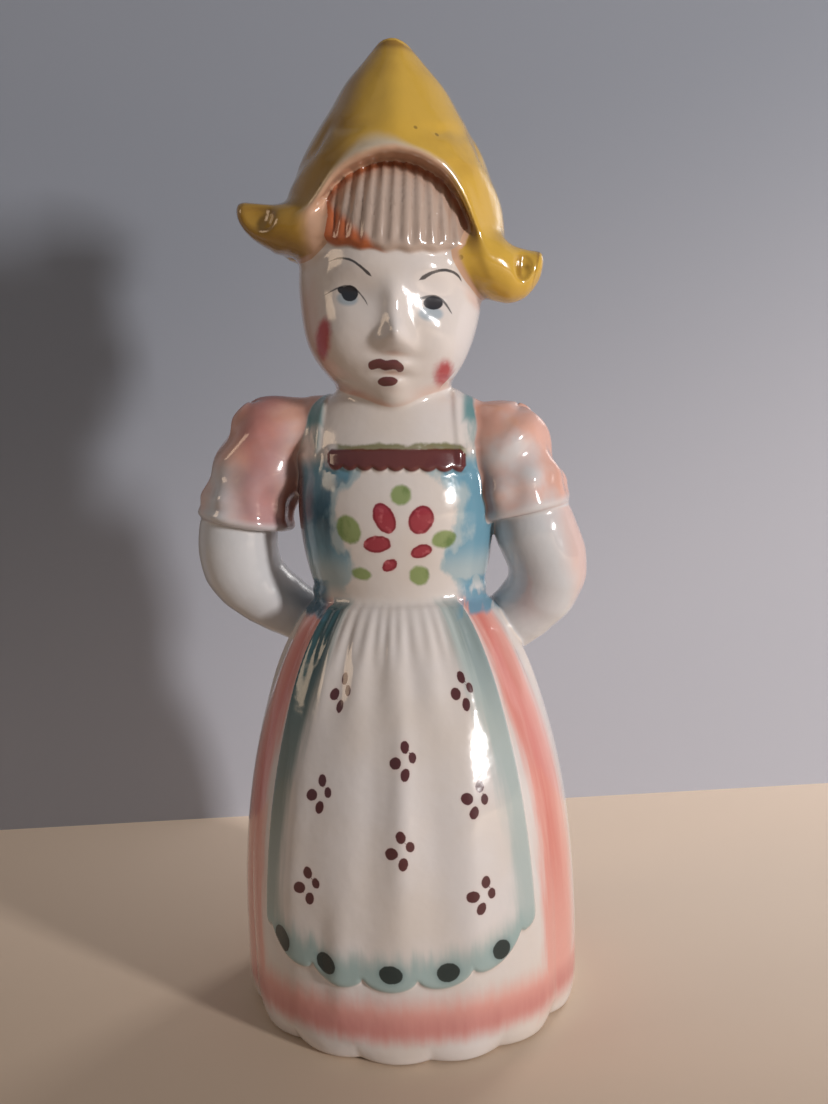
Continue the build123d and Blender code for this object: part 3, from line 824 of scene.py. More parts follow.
@dataclass
class Sleeve(Limb):
    """A puffed sleeve that ends in a rolled cuff.

    Attributes:
        cuff: A place on the cuff's plane (x, z) and the plane's rise along +X.
    """

    cuff: Point = (-32.0, 106.3, -0.25)
    lip: float = 0.9

    def below_cuff(self, x: np.ndarray, z: np.ndarray) -> np.ndarray:
        """Distance under the cuff's plane."""
        level = self.cuff[1] + self.cuff[2] * (x - self.cuff[0])
        return (level - z) / math.sqrt(1.0 + self.cuff[2] ** 2)

    def depth(self, x: np.ndarray, y: np.ndarray, z: np.ndarray) -> np.ndarray:
        """Depth under the sleeve, with the lip of its cuff."""
        below = self.below_cuff(x, z)
        around = np.arctan2(y, x - self.cuff[0])
        folds = 0.35 * np.sin(around * 9.0 + 0.6) * bell(below, -5.5, 4.0)
        folds = folds + 0.45 * np.sin(0.62 * z + 2.0 * np.sin(around * 2.0)) * ramp(below, -3.0, -7.0)
        depth = super().depth(x, y, z) - folds - self.lip * bell(below, -1.2, 1.3)
        return soft_max(depth, below, 0.9)


@dataclass
class Figure:
    """The whole casting: its forms, its hollows and the pieces cut from its surface."""

    step: float = 0.45
    skirt: Skirt = field(default_factory=Skirt)
    bodice: Bodice = field(default_factory=Bodice)
    head: Head = field(default_factory=Head)
    fringe: Fringe = field(default_factory=Fringe)
    cap: Cap = field(default_factory=Cap)
    right_wing: Wing = field(default_factory=Wing)
    left_wing: Wing = field(default_factory=lambda: Wing(side=1, tip=31.4, stations=(
        (16.0, 6.0, 6.6, 9.0), (22.0, 4.4, 6.4, 7.8), (24.6, 3.5, 5.8, 6.6), (26.5, 3.5, 5.3, 5.6),
        (28.3, 3.9, 4.6, 4.8), (29.8, 4.8, 3.6, 3.8), (30.7, 5.5, 2.5, 2.7), (31.4, 6.2, 0.6, 0.8))))
    right_sleeve: Sleeve = field(default_factory=lambda: Sleeve(balls=(
        (-17.0, 0.0, 128.0, 6.2), (-27.2, 0.0, 125.0, 9.1), (-30.5, 0.0, 118.5, 9.3),
        (-33.6, 0.0, 111.5, 9.6), (-34.2, 0.0, 104.0, 9.2)), cuff=(-32.0, 106.3, -0.2)))
    right_forearm: Limb = field(default_factory=lambda: Limb(fillet=0.7, balls=(
        (-34.6, 0.0, 110.0, 7.6), (-36.3, 0.2, 105.5, 8.0), (-36.6, 0.4, 101.0, 8.1), (-36.2, 1.0, 97.0, 7.8),
        (-34.4, 2.0, 93.6, 7.2), (-31.2, 3.5, 90.2, 6.7), (-27.6, 5.5, 87.2, 6.2), (-23.5, 7.5, 84.2, 5.6),
        (-19.5, 8.5, 82.0, 5.0))))
    left_sleeve: Sleeve = field(default_factory=lambda: Sleeve(balls=(
        (16.0, 0.0, 126.0, 6.2), (23.8, 0.0, 121.9, 9.2), (24.8, 0.0, 116.0, 9.3), (27.0, 0.0, 111.5, 9.6),
        (27.3, 0.0, 104.0, 9.2)), cuff=(27.0, 107.6, 0.2), lip=0.45))
    left_forearm: Limb = field(default_factory=lambda: Limb(fillet=1.0, balls=(
        (28.4, 0.0, 110.0, 7.8), (30.2, 0.2, 104.0, 8.2), (32.4, 1.0, 98.4, 8.0), (32.9, 1.6, 94.4, 7.5),
        (31.2, 3.0, 90.0, 7.1), (27.2, 5.0, 85.6, 6.6), (23.4, 7.0, 82.2, 6.1), (20.5, 8.5, 79.4, 5.0))))
    collar: Socket = field(default_factory=Socket)
    hollows: tuple[Form, ...] = (
        Egg(1.6, (-28.0, -14.4, 11.0), (4.0, 3.2, 3.4)), Egg(1.4, (26.8, -14.6, 4.8), (1.8, 2.8, 3.6)),
        Socket(0.6, radius=8.5, below=17.0, above=2.0), Egg(0.6, (0.0, 0.0, 20.0), (13.0, 13.0, 12.0)),
    )

    def forms(self) -> dict[Part, list[Form]]:
        """The forms of each cast piece, in the order in which they are laid on."""
        return {
            Part.BODY: [self.skirt, self.bodice],
            Part.RIGHT_ARM: [self.right_sleeve, self.right_forearm],
            Part.LEFT_ARM: [self.left_sleeve, self.left_forearm],
            Part.HEAD: [self.head, self.fringe],
            Part.CAP: [self.cap, self.right_wing, self.left_wing, self.collar],
        }

    def depth_of(self, part: Part, points: np.ndarray) -> np.ndarray:
        """Depth of points under one cast piece."""
        x, y, z = points.T
        return np.min([form.depth(x, y, z) for form in self.forms()[part]], axis=0)

    def marks(self, points: np.ndarray, clay: Clay, normals: np.ndarray) -> dict[str, np.ndarray]:
        """What the brushes follow at each point of the surface.

        Args:
            points: Places on the surface.
            clay: The block that the surface was cut from.
            normals: Outward directions there.

        Returns:
            Named measures, one value a point, in millimetres.
        """
        x, y, z = points.T
        depths = {part: self.depth_of(part, points) for part in Part}
        arms = np.minimum(depths[Part.RIGHT_ARM], depths[Part.LEFT_ARM])
        others = np.minimum(np.minimum(depths[Part.BODY], depths[Part.HEAD]), arms)
        u, v, w = HEAD_AXES.local(x, y, z)
        sleeves = np.where(x < 0, self.right_sleeve.below_cuff(x, z), self.left_sleeve.below_cuff(x, z))
        return {
            "in_cap": others - depths[Part.CAP],
            "in_arm": np.minimum(depths[Part.BODY], depths[Part.HEAD]) - arms,
            "in_head": np.minimum(depths[Part.BODY], arms) - depths[Part.HEAD],
            "below_cuff": sleeves,
            "from_brim": np.where(v < 6.0, self.cap.from_brim(u, w), 6.0),
            "in_fringe": self.fringe.inside(u, w),
            "in_apron": self.skirt.apron(np.degrees(np.arctan2(x, -y)), z),
            "groove": 1.0 - clay.read(points + normals * 1.0),
            "far_groove": 2.6 - clay.read(points + normals * 2.6),
            **SkirtPaint().touches(x, y, z), **BodicePaint().touches(x, y, z), **FacePaint().touches(x, y, z),
        }

    def build(self) -> list[bpy.types.Object]:
        """Fires the figure.

        Returns:
            One piece for each cast part, cut from one surface.
        """
        low, high = (value / MM for value in cad_box)
        clay = Clay(tuple(low - Vector((2, 2, 2))), tuple(high + Vector((2, 2, 2))), self.step)
        for forms in self.forms().values():
            for form in forms:
                clay.add(form)
        for hollow in self.hollows:
            clay.carve(hollow)
        points, quads = clay.surface()
        normals = clay.normals(points)
        marks = self.marks(points, clay, normals)
        order = list(Part)
        depths = np.stack([self.depth_of(part, points) for part in order])
        owner = np.argmin(depths[:, quads].mean(axis=2), axis=0)
        corner = points[quads]
        facing = np.cross(corner[:, 2] - corner[:, 0], corner[:, 3] - corner[:, 1])
        if np.sum(facing * normals[quads[:, 0]]) < 0:
            quads = quads[:, ::-1]
        pieces = []
        for index, part in enumerate(order):
            used, faces = np.unique(quads[owner == index], return_inverse=True)
            piece = self.mesh(part, points[used], faces.reshape(-1, 4), normals[used],
                              {name: values[used] for name, values in marks.items()})
            pieces.append(piece)
        return pieces

    def mesh(self, part: Part, points: np.ndarray, quads: np.ndarray, normals: np.ndarray,
             marks: dict[str, np.ndarray]) -> bpy.types.Object:
        """One cast piece as a mesh that rides on the bottle.

        Args:
            part: The cast piece.
            points: Its points, in millimetres.
            quads: Its faces.
            normals: Its points' outward directions.
            marks: What the brushes follow, one value a point.

        Returns:
            The piece.
        """
        mesh = bpy.data.meshes.new(part.piece)
        mesh.vertices.add(len(points))
        mesh.vertices.foreach_set("co", (points * MM).astype(np.float32).ravel())
        mesh.loops.add(quads.size)
        mesh.loops.foreach_set("vertex_index", quads.astype(np.int32).ravel())
        mesh.polygons.add(len(quads))
        mesh.polygons.foreach_set("loop_start", np.arange(0, quads.size, 4, dtype=np.int32))
        mesh.update(calc_edges=True)
        mesh.polygons.foreach_set("use_smooth", np.ones(len(quads), bool))
        mesh.normals_split_custom_set_from_vertices(normals.astype(np.float32))
        for name, values in marks.items():
            layer = mesh.attributes.new(name, "FLOAT", "POINT")
            layer.data.foreach_set("value", values.astype(np.float32))
        piece = bpy.data.objects.new(part.piece, mesh)
        bpy.context.scene.collection.objects.link(piece)
        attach(piece, "bottle")
        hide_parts(part.node)
        log.info("%s: %d faces", part.piece, len(quads))
        return piece


# Brushes and glaze


def tint(red: int, green: int, blue: int) -> Colour:
    """A colour named by its usual 0 to 255 values, as light.

    Args:
        red: Red, 0 to 255.
        green: Green, 0 to 255.
        blue: Blue, 0 to 255.

    Returns:
        The same colour as linear light.
    """
    return tuple(((value / 255 + 0.055) / 1.055) ** 2.4 for value in (red, green, blue))


@dataclass
class Wire:
    """A value on its way through a material, with the usual arithmetic."""

    bench: "Bench"
    socket: bpy.types.NodeSocket

    def sum(self, operation: str, *others: object) -> "Wire":
        """One Math node on this value and others."""
        return self.bench.node("ShaderNodeMath", {"operation": operation}, dict(enumerate((self, *others))))

    def __add__(self, other: object) -> "Wire":
        """This and another added."""
        return self.sum("ADD", other)

    def __sub__(self, other: object) -> "Wire":
        """This less another."""
        return self.sum("SUBTRACT", other)

    def __mul__(self, other: object) -> "Wire":
        """This times another."""
        return self.sum("MULTIPLY", other)

    def __rsub__(self, other: float) -> "Wire":
        """A number less this."""
        return self.bench.node("ShaderNodeMath", {"operation": "SUBTRACT"}, {0: other, 1: self})

    def __truediv__(self, other: object) -> "Wire":
        """This shared by another."""
        return self.sum("DIVIDE", other)

    def __pow__(self, other: float) -> "Wire":
        """This to a power."""
        return self.sum("POWER", other)

    __radd__ = __add__
    __rmul__ = __mul__

    def __abs__(self) -> "Wire":
        """This without its sign."""
        return self.sum("ABSOLUTE")

    def __neg__(self) -> "Wire":
        """This with its sign turned."""
        return self * -1.0

    def __or__(self, other: object) -> "Wire":
        """The larger of two masks."""
        return self.sum("MAXIMUM", other)

    def __and__(self, other: object) -> "Wire":
        """The smaller of two masks."""
        return self.sum("MINIMUM", other)

    def ramp(self, low: float, high: float) -> "Wire":
        """A share that rises smoothly from 0 at low to 1 at high, or falls if high is below low.

        Args:
            low: Where it is 0.
            high: Where it is 1.

        Returns:
            The share.
        """
        return self.bench.node("ShaderNodeMapRange", {"interpolation_type": "SMOOTHSTEP"},
                               {"Value": self, "From Min": low, "From Max": high})

    def bell(self, centre: float, reach: float) -> "Wire":
        """A share that is 1 at the centre and 0 beyond its reach."""
        return abs(self - centre).ramp(reach, 0.0)


class Bench:
    """Where one material is put together from nodes."""

    def __init__(self, name: str) -> None:
        """Starts an empty material.

        Args:
            name: The material's name.
        """
        self.material = bpy.data.materials.new(name)
        self.material.use_nodes = True
        self.tree = self.material.node_tree
        self.tree.nodes.clear()
        self.object_place = self.node("ShaderNodeTexCoord", {}, {}, "Object")
        self.place = self.node("ShaderNodeVectorMath", {"operation": "SCALE"},
                               {0: self.object_place, "Scale": 1.0 / MM})
        self.x, self.y, self.z = (self.node("ShaderNodeSeparateXYZ", {}, {0: self.place}, axis)
                                  for axis in "XYZ")

    def node(self, kind: str, settings: dict, inputs: dict, output: str | int = 0) -> Wire:
        """Adds one node.

        Args:
            kind: Its type.
            settings: What it is set to.
            inputs: Values or links of its sockets, by name or number.
            output: Which output is read.

        Returns:
            That output.
        """
        made = self.tree.nodes.new(kind)
        for name, value in settings.items():
            setattr(made, name, value)
        for key, value in inputs.items():
            if isinstance(value, Wire):
                self.tree.links.new(value.socket, made.inputs[key])
            elif isinstance(value, tuple) and len(value) == 3 and made.inputs[key].type == "RGBA":
                made.inputs[key].default_value = (*value, 1.0)
            elif value is not None:
                made.inputs[key].default_value = value
        return Wire(self, made.outputs[output])

    def mark(self, name: str) -> Wire:
        """A measure kept on the mesh."""
        return self.node("ShaderNodeAttribute", {"attribute_name": name}, {}, "Fac")

    def plane(self, across: Wire, up: Wire) -> Wire:
        """A flat place for the brush, from two measures."""
        return self.node("ShaderNodeCombineXYZ", {}, {0: across, 1: up})

    def noise(self, place: Wire, scale: float, detail: float = 2.0, output: str = "Fac") -> Wire:
        """Soft random variation, scale in waves a millimetre."""
        inputs = {"Vector": place, "Scale": scale, "Detail": detail}
        return self.node("ShaderNodeTexNoise", {}, inputs, output)

    def stretched(self, place: Wire, scale: Point) -> Wire:
        """The same place, drawn out so that noise on it makes streaks."""
        return self.node("ShaderNodeVectorMath", {"operation": "MULTIPLY"}, {0: place, 1: scale})

    def bump(self, strength: float, distance: float, height: Wire) -> Wire:
        """Relief that only the light sees.

        Args:
            strength: How much of it shows.
            distance: Its depth, in metres.
            height: Where it stands out.

        Returns:
            The surface's direction.
        """
        return self.node("ShaderNodeBump", {}, {"Strength": strength, "Distance": distance, "Height": height},
                         "Normal")

    def mix(self, share: Wire | float, first: Wire | Colour, second: Wire | Colour) -> Wire:
        """One colour laid over another.

        Args:
            share: How much of the second shows.
            first: What is there.
            second: What is laid on it.

        Returns:
            The colour of both.
        """
        return self.node("ShaderNodeMix", {"data_type": "RGBA"}, {0: share, 6: first, 7: second}, 2)

    def touched(self, name: str, ragged: Wire | float = 0.0, edge: float = 0.12) -> Wire:
        """The mask of the touches that one mark measures.

        Args:
            name: The mark: distance outside the touches.
            ragged: Variation added to their outline.
            edge: Softness of the outline.

        Returns:
            1 under the paint and 0 outside it.
        """
        return (self.mark(name) + ragged).ramp(edge, -edge)

    def drawn(self, name: str, ragged: Wire | float = 0.0, edge: float = 0.1) -> Wire:
        """The mask of fine lines.

        Args:
            name: Which lines.
            ragged: Variation added to their thickness.
            edge: Softness of the outline.

        Returns:
            1 under the paint and 0 outside it.
        """
        return (self.mark(f"{name}_half") - abs(self.mark(f"{name}_offset")) + ragged).ramp(-edge, edge)

    def pooled(self, name: str, ragged: Wire | float = 0.0) -> Wire:
        """The mask of the darker rim where the paint of some touches pooled and dried."""
        return (self.mark(name) + ragged).bell(-0.25, 0.45)

    def finish(self, inputs: dict, clear: Wire | None = None) -> bpy.types.Material:
        """Ends the material in one Principled shader.

        Args:
            inputs: Values or links of the shader's sockets.
            clear: Where it can be looked through, if anywhere.

        Returns:
            The material.
        """
        shader = self.node("ShaderNodeBsdfPrincipled", {}, inputs)
        if clear is not None:
            glass = self.node("ShaderNodeBsdfTransparent", {}, {})
            shader = self.node("ShaderNodeMixShader", {}, {0: clear, 1: shader, 2: glass})
        end = self.tree.nodes.new("ShaderNodeOutputMaterial")
        self.tree.links.new(shader.socket, end.inputs["Surface"])
        return self.material


@dataclass
class Paint:
    """The coat of paint under the glaze, built up layer by layer."""

    bench: Bench
    colour: Wire | Colour
    ragged: Wire

    def lay(self, mask: Wire, colour: Colour | Wire, strength: float = 1.0) -> None:
        """Lays a colour on under a mask.

        Args:
            mask: Where the brush went.
            colour: What was on it.
            strength: How well it covers.
        """
        self.colour = self.bench.mix(mask * strength, self.colour, colour)


@dataclass(frozen=True)
class SkirtPaint:
    """The brushwork of the skirt: pink bands, a washed apron edge, dots and four-dot flowers."""

    pink: Colour = tint(218, 142, 128)
    deep_pink: Colour = tint(200, 100, 88)
    mauve: Colour = tint(172, 96, 98)
    wash: Colour = tint(148, 170, 168)
    olive: Colour = tint(76, 92, 84)
    teal: Colour = tint(40, 84, 92)
    dot: Colour = tint(30, 44, 44)
    flower: Colour = tint(72, 14, 22)
    arc: float = 0.6283
    dots: tuple[Dab, ...] = (
        Dab(-38.9, 24.0, 2.2, 2.7, 25.0), Dab(-21.4, 21.5, 2.4, 2.0, -30.0), Dab(0.5, 20.7, 2.4, 1.85, -5.0),
        Dab(18.8, 20.6, 2.3, 1.9, 8.0), Dab(36.8, 23.2, 2.0, 2.0, 20.0),
    )
    flowers: tuple[tuple[float, float, float], ...] = (
        (-21.0, 74.0, 0.0), (34.0, 73.7, 0.0), (7.0, 61.8, 0.0), (-25.0, 54.7, 0.0), (32.0, 53.4, -22.0),
        (5.0, 45.1, 6.0), (-28.0, 36.5, 8.0), (31.0, 35.0, -14.0),
    )
    petals: tuple[Dab, ...] = (
        Dab(0.35, 2.6, 1.05, 1.2, 8.0), Dab(2.05, 0.5, 0.9, 1.05, 15.0), Dab(0.2, -2.55, 1.0, 1.3, -20.0),
        Dab(-2.0, -0.4, 1.4, 1.15, 12.0),
    )

    def petals_of_all(self) -> tuple[Dab, ...]:
        """Every petal of every flower, on the skirt's unrolled face."""
        made = []
        for angle, height, turn in self.flowers:
            c, s = math.cos(math.radians(turn)), math.sin(math.radians(turn))
            for petal in self.petals:
                across = angle * self.arc + petal.x * c - petal.z * s
                up = height + petal.x * s + petal.z * c
                made.append(Dab(across, up, petal.half_x, petal.half_z, petal.turn + turn))
        return tuple(made)

    def touches(self, x: np.ndarray, y: np.ndarray, z: np.ndarray) -> dict[str, np.ndarray]:
        """Where the brush touched the skirt, away from its back."""
        unrolled = np.degrees(np.arctan2(x, -y)) * self.arc
        elsewhere = np.where((y < -3.0) & (z < 88.0), 0.0, FAR)
        dots = tuple(Dab(dot.x * self.arc, dot.z, dot.half_x, dot.half_z, dot.turn) for dot in self.dots)
        return {
            "dots": outside_all(dots, unrolled, z) + elsewhere,
            "flowers": outside_all(self.petals_of_all(), unrolled, z) + elsewhere,
        }

    def dress(self, paint: Paint) -> None:
        """Paints the skirt."""
        bench = paint.bench
        angle = bench.node("ShaderNodeMath", {"operation": "ARCTAN2"}, {0: bench.x, 1: -bench.y})
        angle = angle * math.degrees(1.0)
        unrolled = bench.plane(angle * self.arc, bench.z)
        skirt = bench.z.ramp(92.0, 88.5)
        apron = bench.mark("in_apron")
        streaks = bench.noise(bench.stretched(unrolled, (1.0, 0.12, 1.0)), 0.55, 3.0)
        outside = apron.ramp(0.3, -0.5)
        hem = bench.z + (streaks - 0.5) * 3.0
        hem = hem.ramp(4.2, 8.5) & hem.ramp(17.5, 11.0)
        aside = abs(angle - 2.0) + (70.0 - bench.z) * 0.05 + (streaks - 0.5) * 8.0
        aside = aside + bench.z.ramp(50.0, 78.0) * 6.0
        side = (aside.ramp(53.0, 60.0) & aside.ramp(84.0, 72.0)) & bench.z.ramp(2.0, 10.0)
        paint.lay((hem | side) & outside & skirt, self.pink, 0.8)
        deep = ((aside.bell(65.0, 9.0) & bench.z.ramp(16.0, 45.0)) & outside) & skirt
        paint.lay(deep * (streaks * 0.6 + 0.3), self.deep_pink)
        paint.lay((bench.z.bell(8.6, 5.0) & outside) * (streaks * 0.4 + 0.25), self.mauve)
        inside = apron.ramp(-0.4, 0.4) & skirt
        reach = apron + (streaks - 0.5) * 4.5 - bench.z.ramp(45.0, 85.0) * 5.0
        ribbon = reach.ramp(7.4, 2.6) & inside
        left = bench.x.ramp(2.0, -2.0)
        paint.lay(ribbon * bench.z.ramp(8.0, 30.0), self.wash, 0.7)
        paint.lay((ribbon & left) * (bench.z.ramp(30.0, 62.0) * 0.4 + 0.25), self.olive)
        paint.lay(((reach.ramp(5.5, 1.5) & inside) & left) * bench.z.ramp(58.0, 82.0), self.teal, 0.9)
        paint.lay(((reach.ramp(3.5, 0.0) & inside) & (1.0 - left)) * bench.z.ramp(60.0, 84.0), self.teal, 0.4)
        low_edge = bench.z - abs(angle - 1.0).ramp(10.0, 48.0) * 5.0 + (streaks - 0.5) * 5.0
        paint.lay(low_edge.ramp(26.5, 20.0) & inside, self.wash, 0.85)
        paint.lay(bench.touched("dots", paint.ragged * 2.0, 1.4) & inside, self.teal, 0.5)
        paint.lay(bench.touched("dots", paint.ragged * 0.6), self.dot, 0.97)
        paint.lay(bench.touched("flowers", paint.ragged, 0.7) & inside, self.deep_pink, 0.22)
        paint.lay(bench.touched("flowers", paint.ragged * 0.6, 0.1) & inside, self.flower, 0.96)


@dataclass(frozen=True)
class BodicePaint:
    """The brushwork of the bodice: blue sides, a red trim and a spray of petals and leaves."""

    blue: Colour = tint(92, 146, 170)
    deep_blue: Colour = tint(40, 76, 96)
    pale_blue: Colour = tint(146, 172, 180)
    strap: Colour = tint(92, 138, 142)
    trim: Colour = tint(92, 28, 26)
    moss: Colour = tint(112, 112, 60)
    petal: Colour = tint(150, 30, 50)
    wine: Colour = tint(104, 16, 32)
    rose: Colour = tint(206, 112, 118)
    leaf: Colour = tint(116, 140, 62)
    dark_leaf: Colour = tint(78, 104, 44)
    # Brown of the painted shade down the bodice's right side, beside the sleeve.
    brown: Colour = tint(150, 86, 56)
    petals: tuple[Dab, ...] = (
        Dab(-0.2, 108.4, 2.1, 3.3, 24.0), Dab(7.2, 107.8, 2.4, 3.0, -28.0), Dab(-2.0, 103.1, 2.9, 1.75, 4.0),
        Dab(6.9, 101.3, 2.2, 1.35, 16.0), Dab(0.3, 98.6, 1.7, 1.15, 34.0),
    )
    leaves: tuple[Dab, ...] = (
        Dab(3.3, 113.0, 2.1, 2.0), Dab(-7.9, 106.2, 2.5, 3.1, 28.0), Dab(11.5, 103.6, 2.4, 1.8, 10.0),
        Dab(-5.8, 96.8, 2.1, 1.35, -10.0), Dab(6.2, 96.2, 2.0, 2.1),
    )

    def touches(self, x: np.ndarray, y: np.ndarray, z: np.ndarray) -> dict[str, np.ndarray]:
        """Where the brush touched the bib."""
        elsewhere = np.where((y < -3.0) & (z > 88.0), 0.0, FAR)
        return {
            "petals": outside_all(self.petals, x, z) + elsewhere,
            "leaves": outside_all(self.leaves, x, z) + elsewhere,
        }

    def dress(self, paint: Paint) -> None:
        """Paints the bodice, its straps and the waist tie, with painted shade down its right side beside the
        sleeve.
        """
        bench = paint.bench
        x, y, z = bench.x, bench.y, bench.z
        front = bench.plane(x, z)
        bare = bench.mark("in_arm").ramp(0.4, -0.4)
        ahead = y.ramp(2.0, -4.0)
        streaks = bench.noise(bench.stretched(front, (1.0, 0.3, 1.0)), 0.42, 4.0)
        rough = bench.noise(bench.stretched(front, (1.0, 0.6, 1.0)), 0.28, 4.0)
        aside = abs(x - 2.0) + (rough - 0.5) * 7.0 + z.bell(119.0, 7.0) * 5.0 + z.bell(98.5, 6.0) * 3.4
        bib = z.ramp(91.0, 95.0) & z.ramp(122.0, 118.0)
        sides = (aside.ramp(11.0, 12.6) & bib) & bare
        paint.lay(sides & ahead, self.pale_blue, 0.8)
        deeper = (aside + (streaks - 0.5) * 7.0).ramp(12.5, 15.5) & bib & bare & ahead
        paint.lay(deeper & z.ramp(96.0, 103.0), self.blue, 0.85)
        left = x.ramp(-6.0, -11.0)
        middle = (z + (streaks - 0.5) * 10.0).bell(110.0, 11.0)
        paint.lay((deeper & left & middle) * 1.4, self.deep_blue, 0.65)
        # Painted shade: orange-brown down the bodice's right side (-X), where it meets the sleeve.
        edge = abs(x - 0.5).ramp(18.5, 21.0) & bare & z.ramp(88.0, 94.0)
        paint.lay(edge & x.ramp(0.0, -4.0), self.brown, 0.6)
        shoulder = (abs(x - 1.0).ramp(14.0, 15.6) & z.ramp(126.5, 129.0)) & z.ramp(141.0, 137.0)
        strap = (abs(abs(x - 1.0) - 16.8).ramp(2.4, 1.0) & z.ramp(117.0, 121.0)) & z.ramp(141.0, 136.0)
        neck = bench.mark("in_head").ramp(0.0, -1.0)
        paint.lay((strap & neck) * streaks.ramp(0.35, 0.65), self.strap, 0.65)
        paint.lay((shoulder & neck) & bare, self.strap, 0.85)
        tie = (abs(z - 91.0 + (streaks - 0.5) * 3.0).ramp(4.4, 3.0) & abs(x).ramp(13.0, 16.0)) & bare
        paint.lay(tie & (left | streaks.ramp(0.35, 0.5)), self.blue, 0.9)
        paint.lay(tie & left, self.deep_blue, 0.75)
        step = (x + 12.0) / 3.2
        scallop = abs(bench.node("ShaderNodeMath", {"operation": "FRACT"}, {0: step}) - 0.5) * 2.0
        bottom = scallop * scallop * 0.7 + 117.9 - x * 0.05 + abs(x - 2.0).ramp(13.2, 14.6) * 1.2
        top = 122.3 - x * 0.03 + (streaks - 0.5) * 0.6 - abs(x - 2.0).ramp(13.2, 14.6) * 1.2
        band = ((z - bottom).ramp(-0.3, 0.2) & (top - z).ramp(-0.3, 0.2)) & abs(x - 2.0).ramp(14.5, 14.1)
        wild = (rough - 0.5) * 2.4
        edge = (z - top + 0.1).ramp(-0.5, 0.1) & (top + 1.1 + wild - z).ramp(-0.3, 0.5)
        edge = edge & abs(x - 3.0).ramp(14.0, 12.4)
        paint.lay(edge & ahead, self.moss, 0.85)
        paint.lay(band & ahead, self.trim, 0.96)
        paint.lay(bench.touched("petals", paint.ragged, 0.8), self.rose, 0.3)
        petals = bench.touched("petals", paint.ragged * 0.9, 0.15)
        paint.lay(petals, self.petal, 0.95)
        paint.lay(petals & bench.pooled("petals", paint.ragged), self.wine, 0.6)
        paint.lay(petals & bench.noise(front, 0.5).ramp(0.55, 0.75), self.rose, 0.6)
        leaves = bench.touched("leaves", paint.ragged * 1.2, 0.4)
        paint.lay(leaves, self.leaf, 0.85)
        paint.lay(leaves & rough.ramp(0.5, 0.7), self.dark_leaf, 0.6)


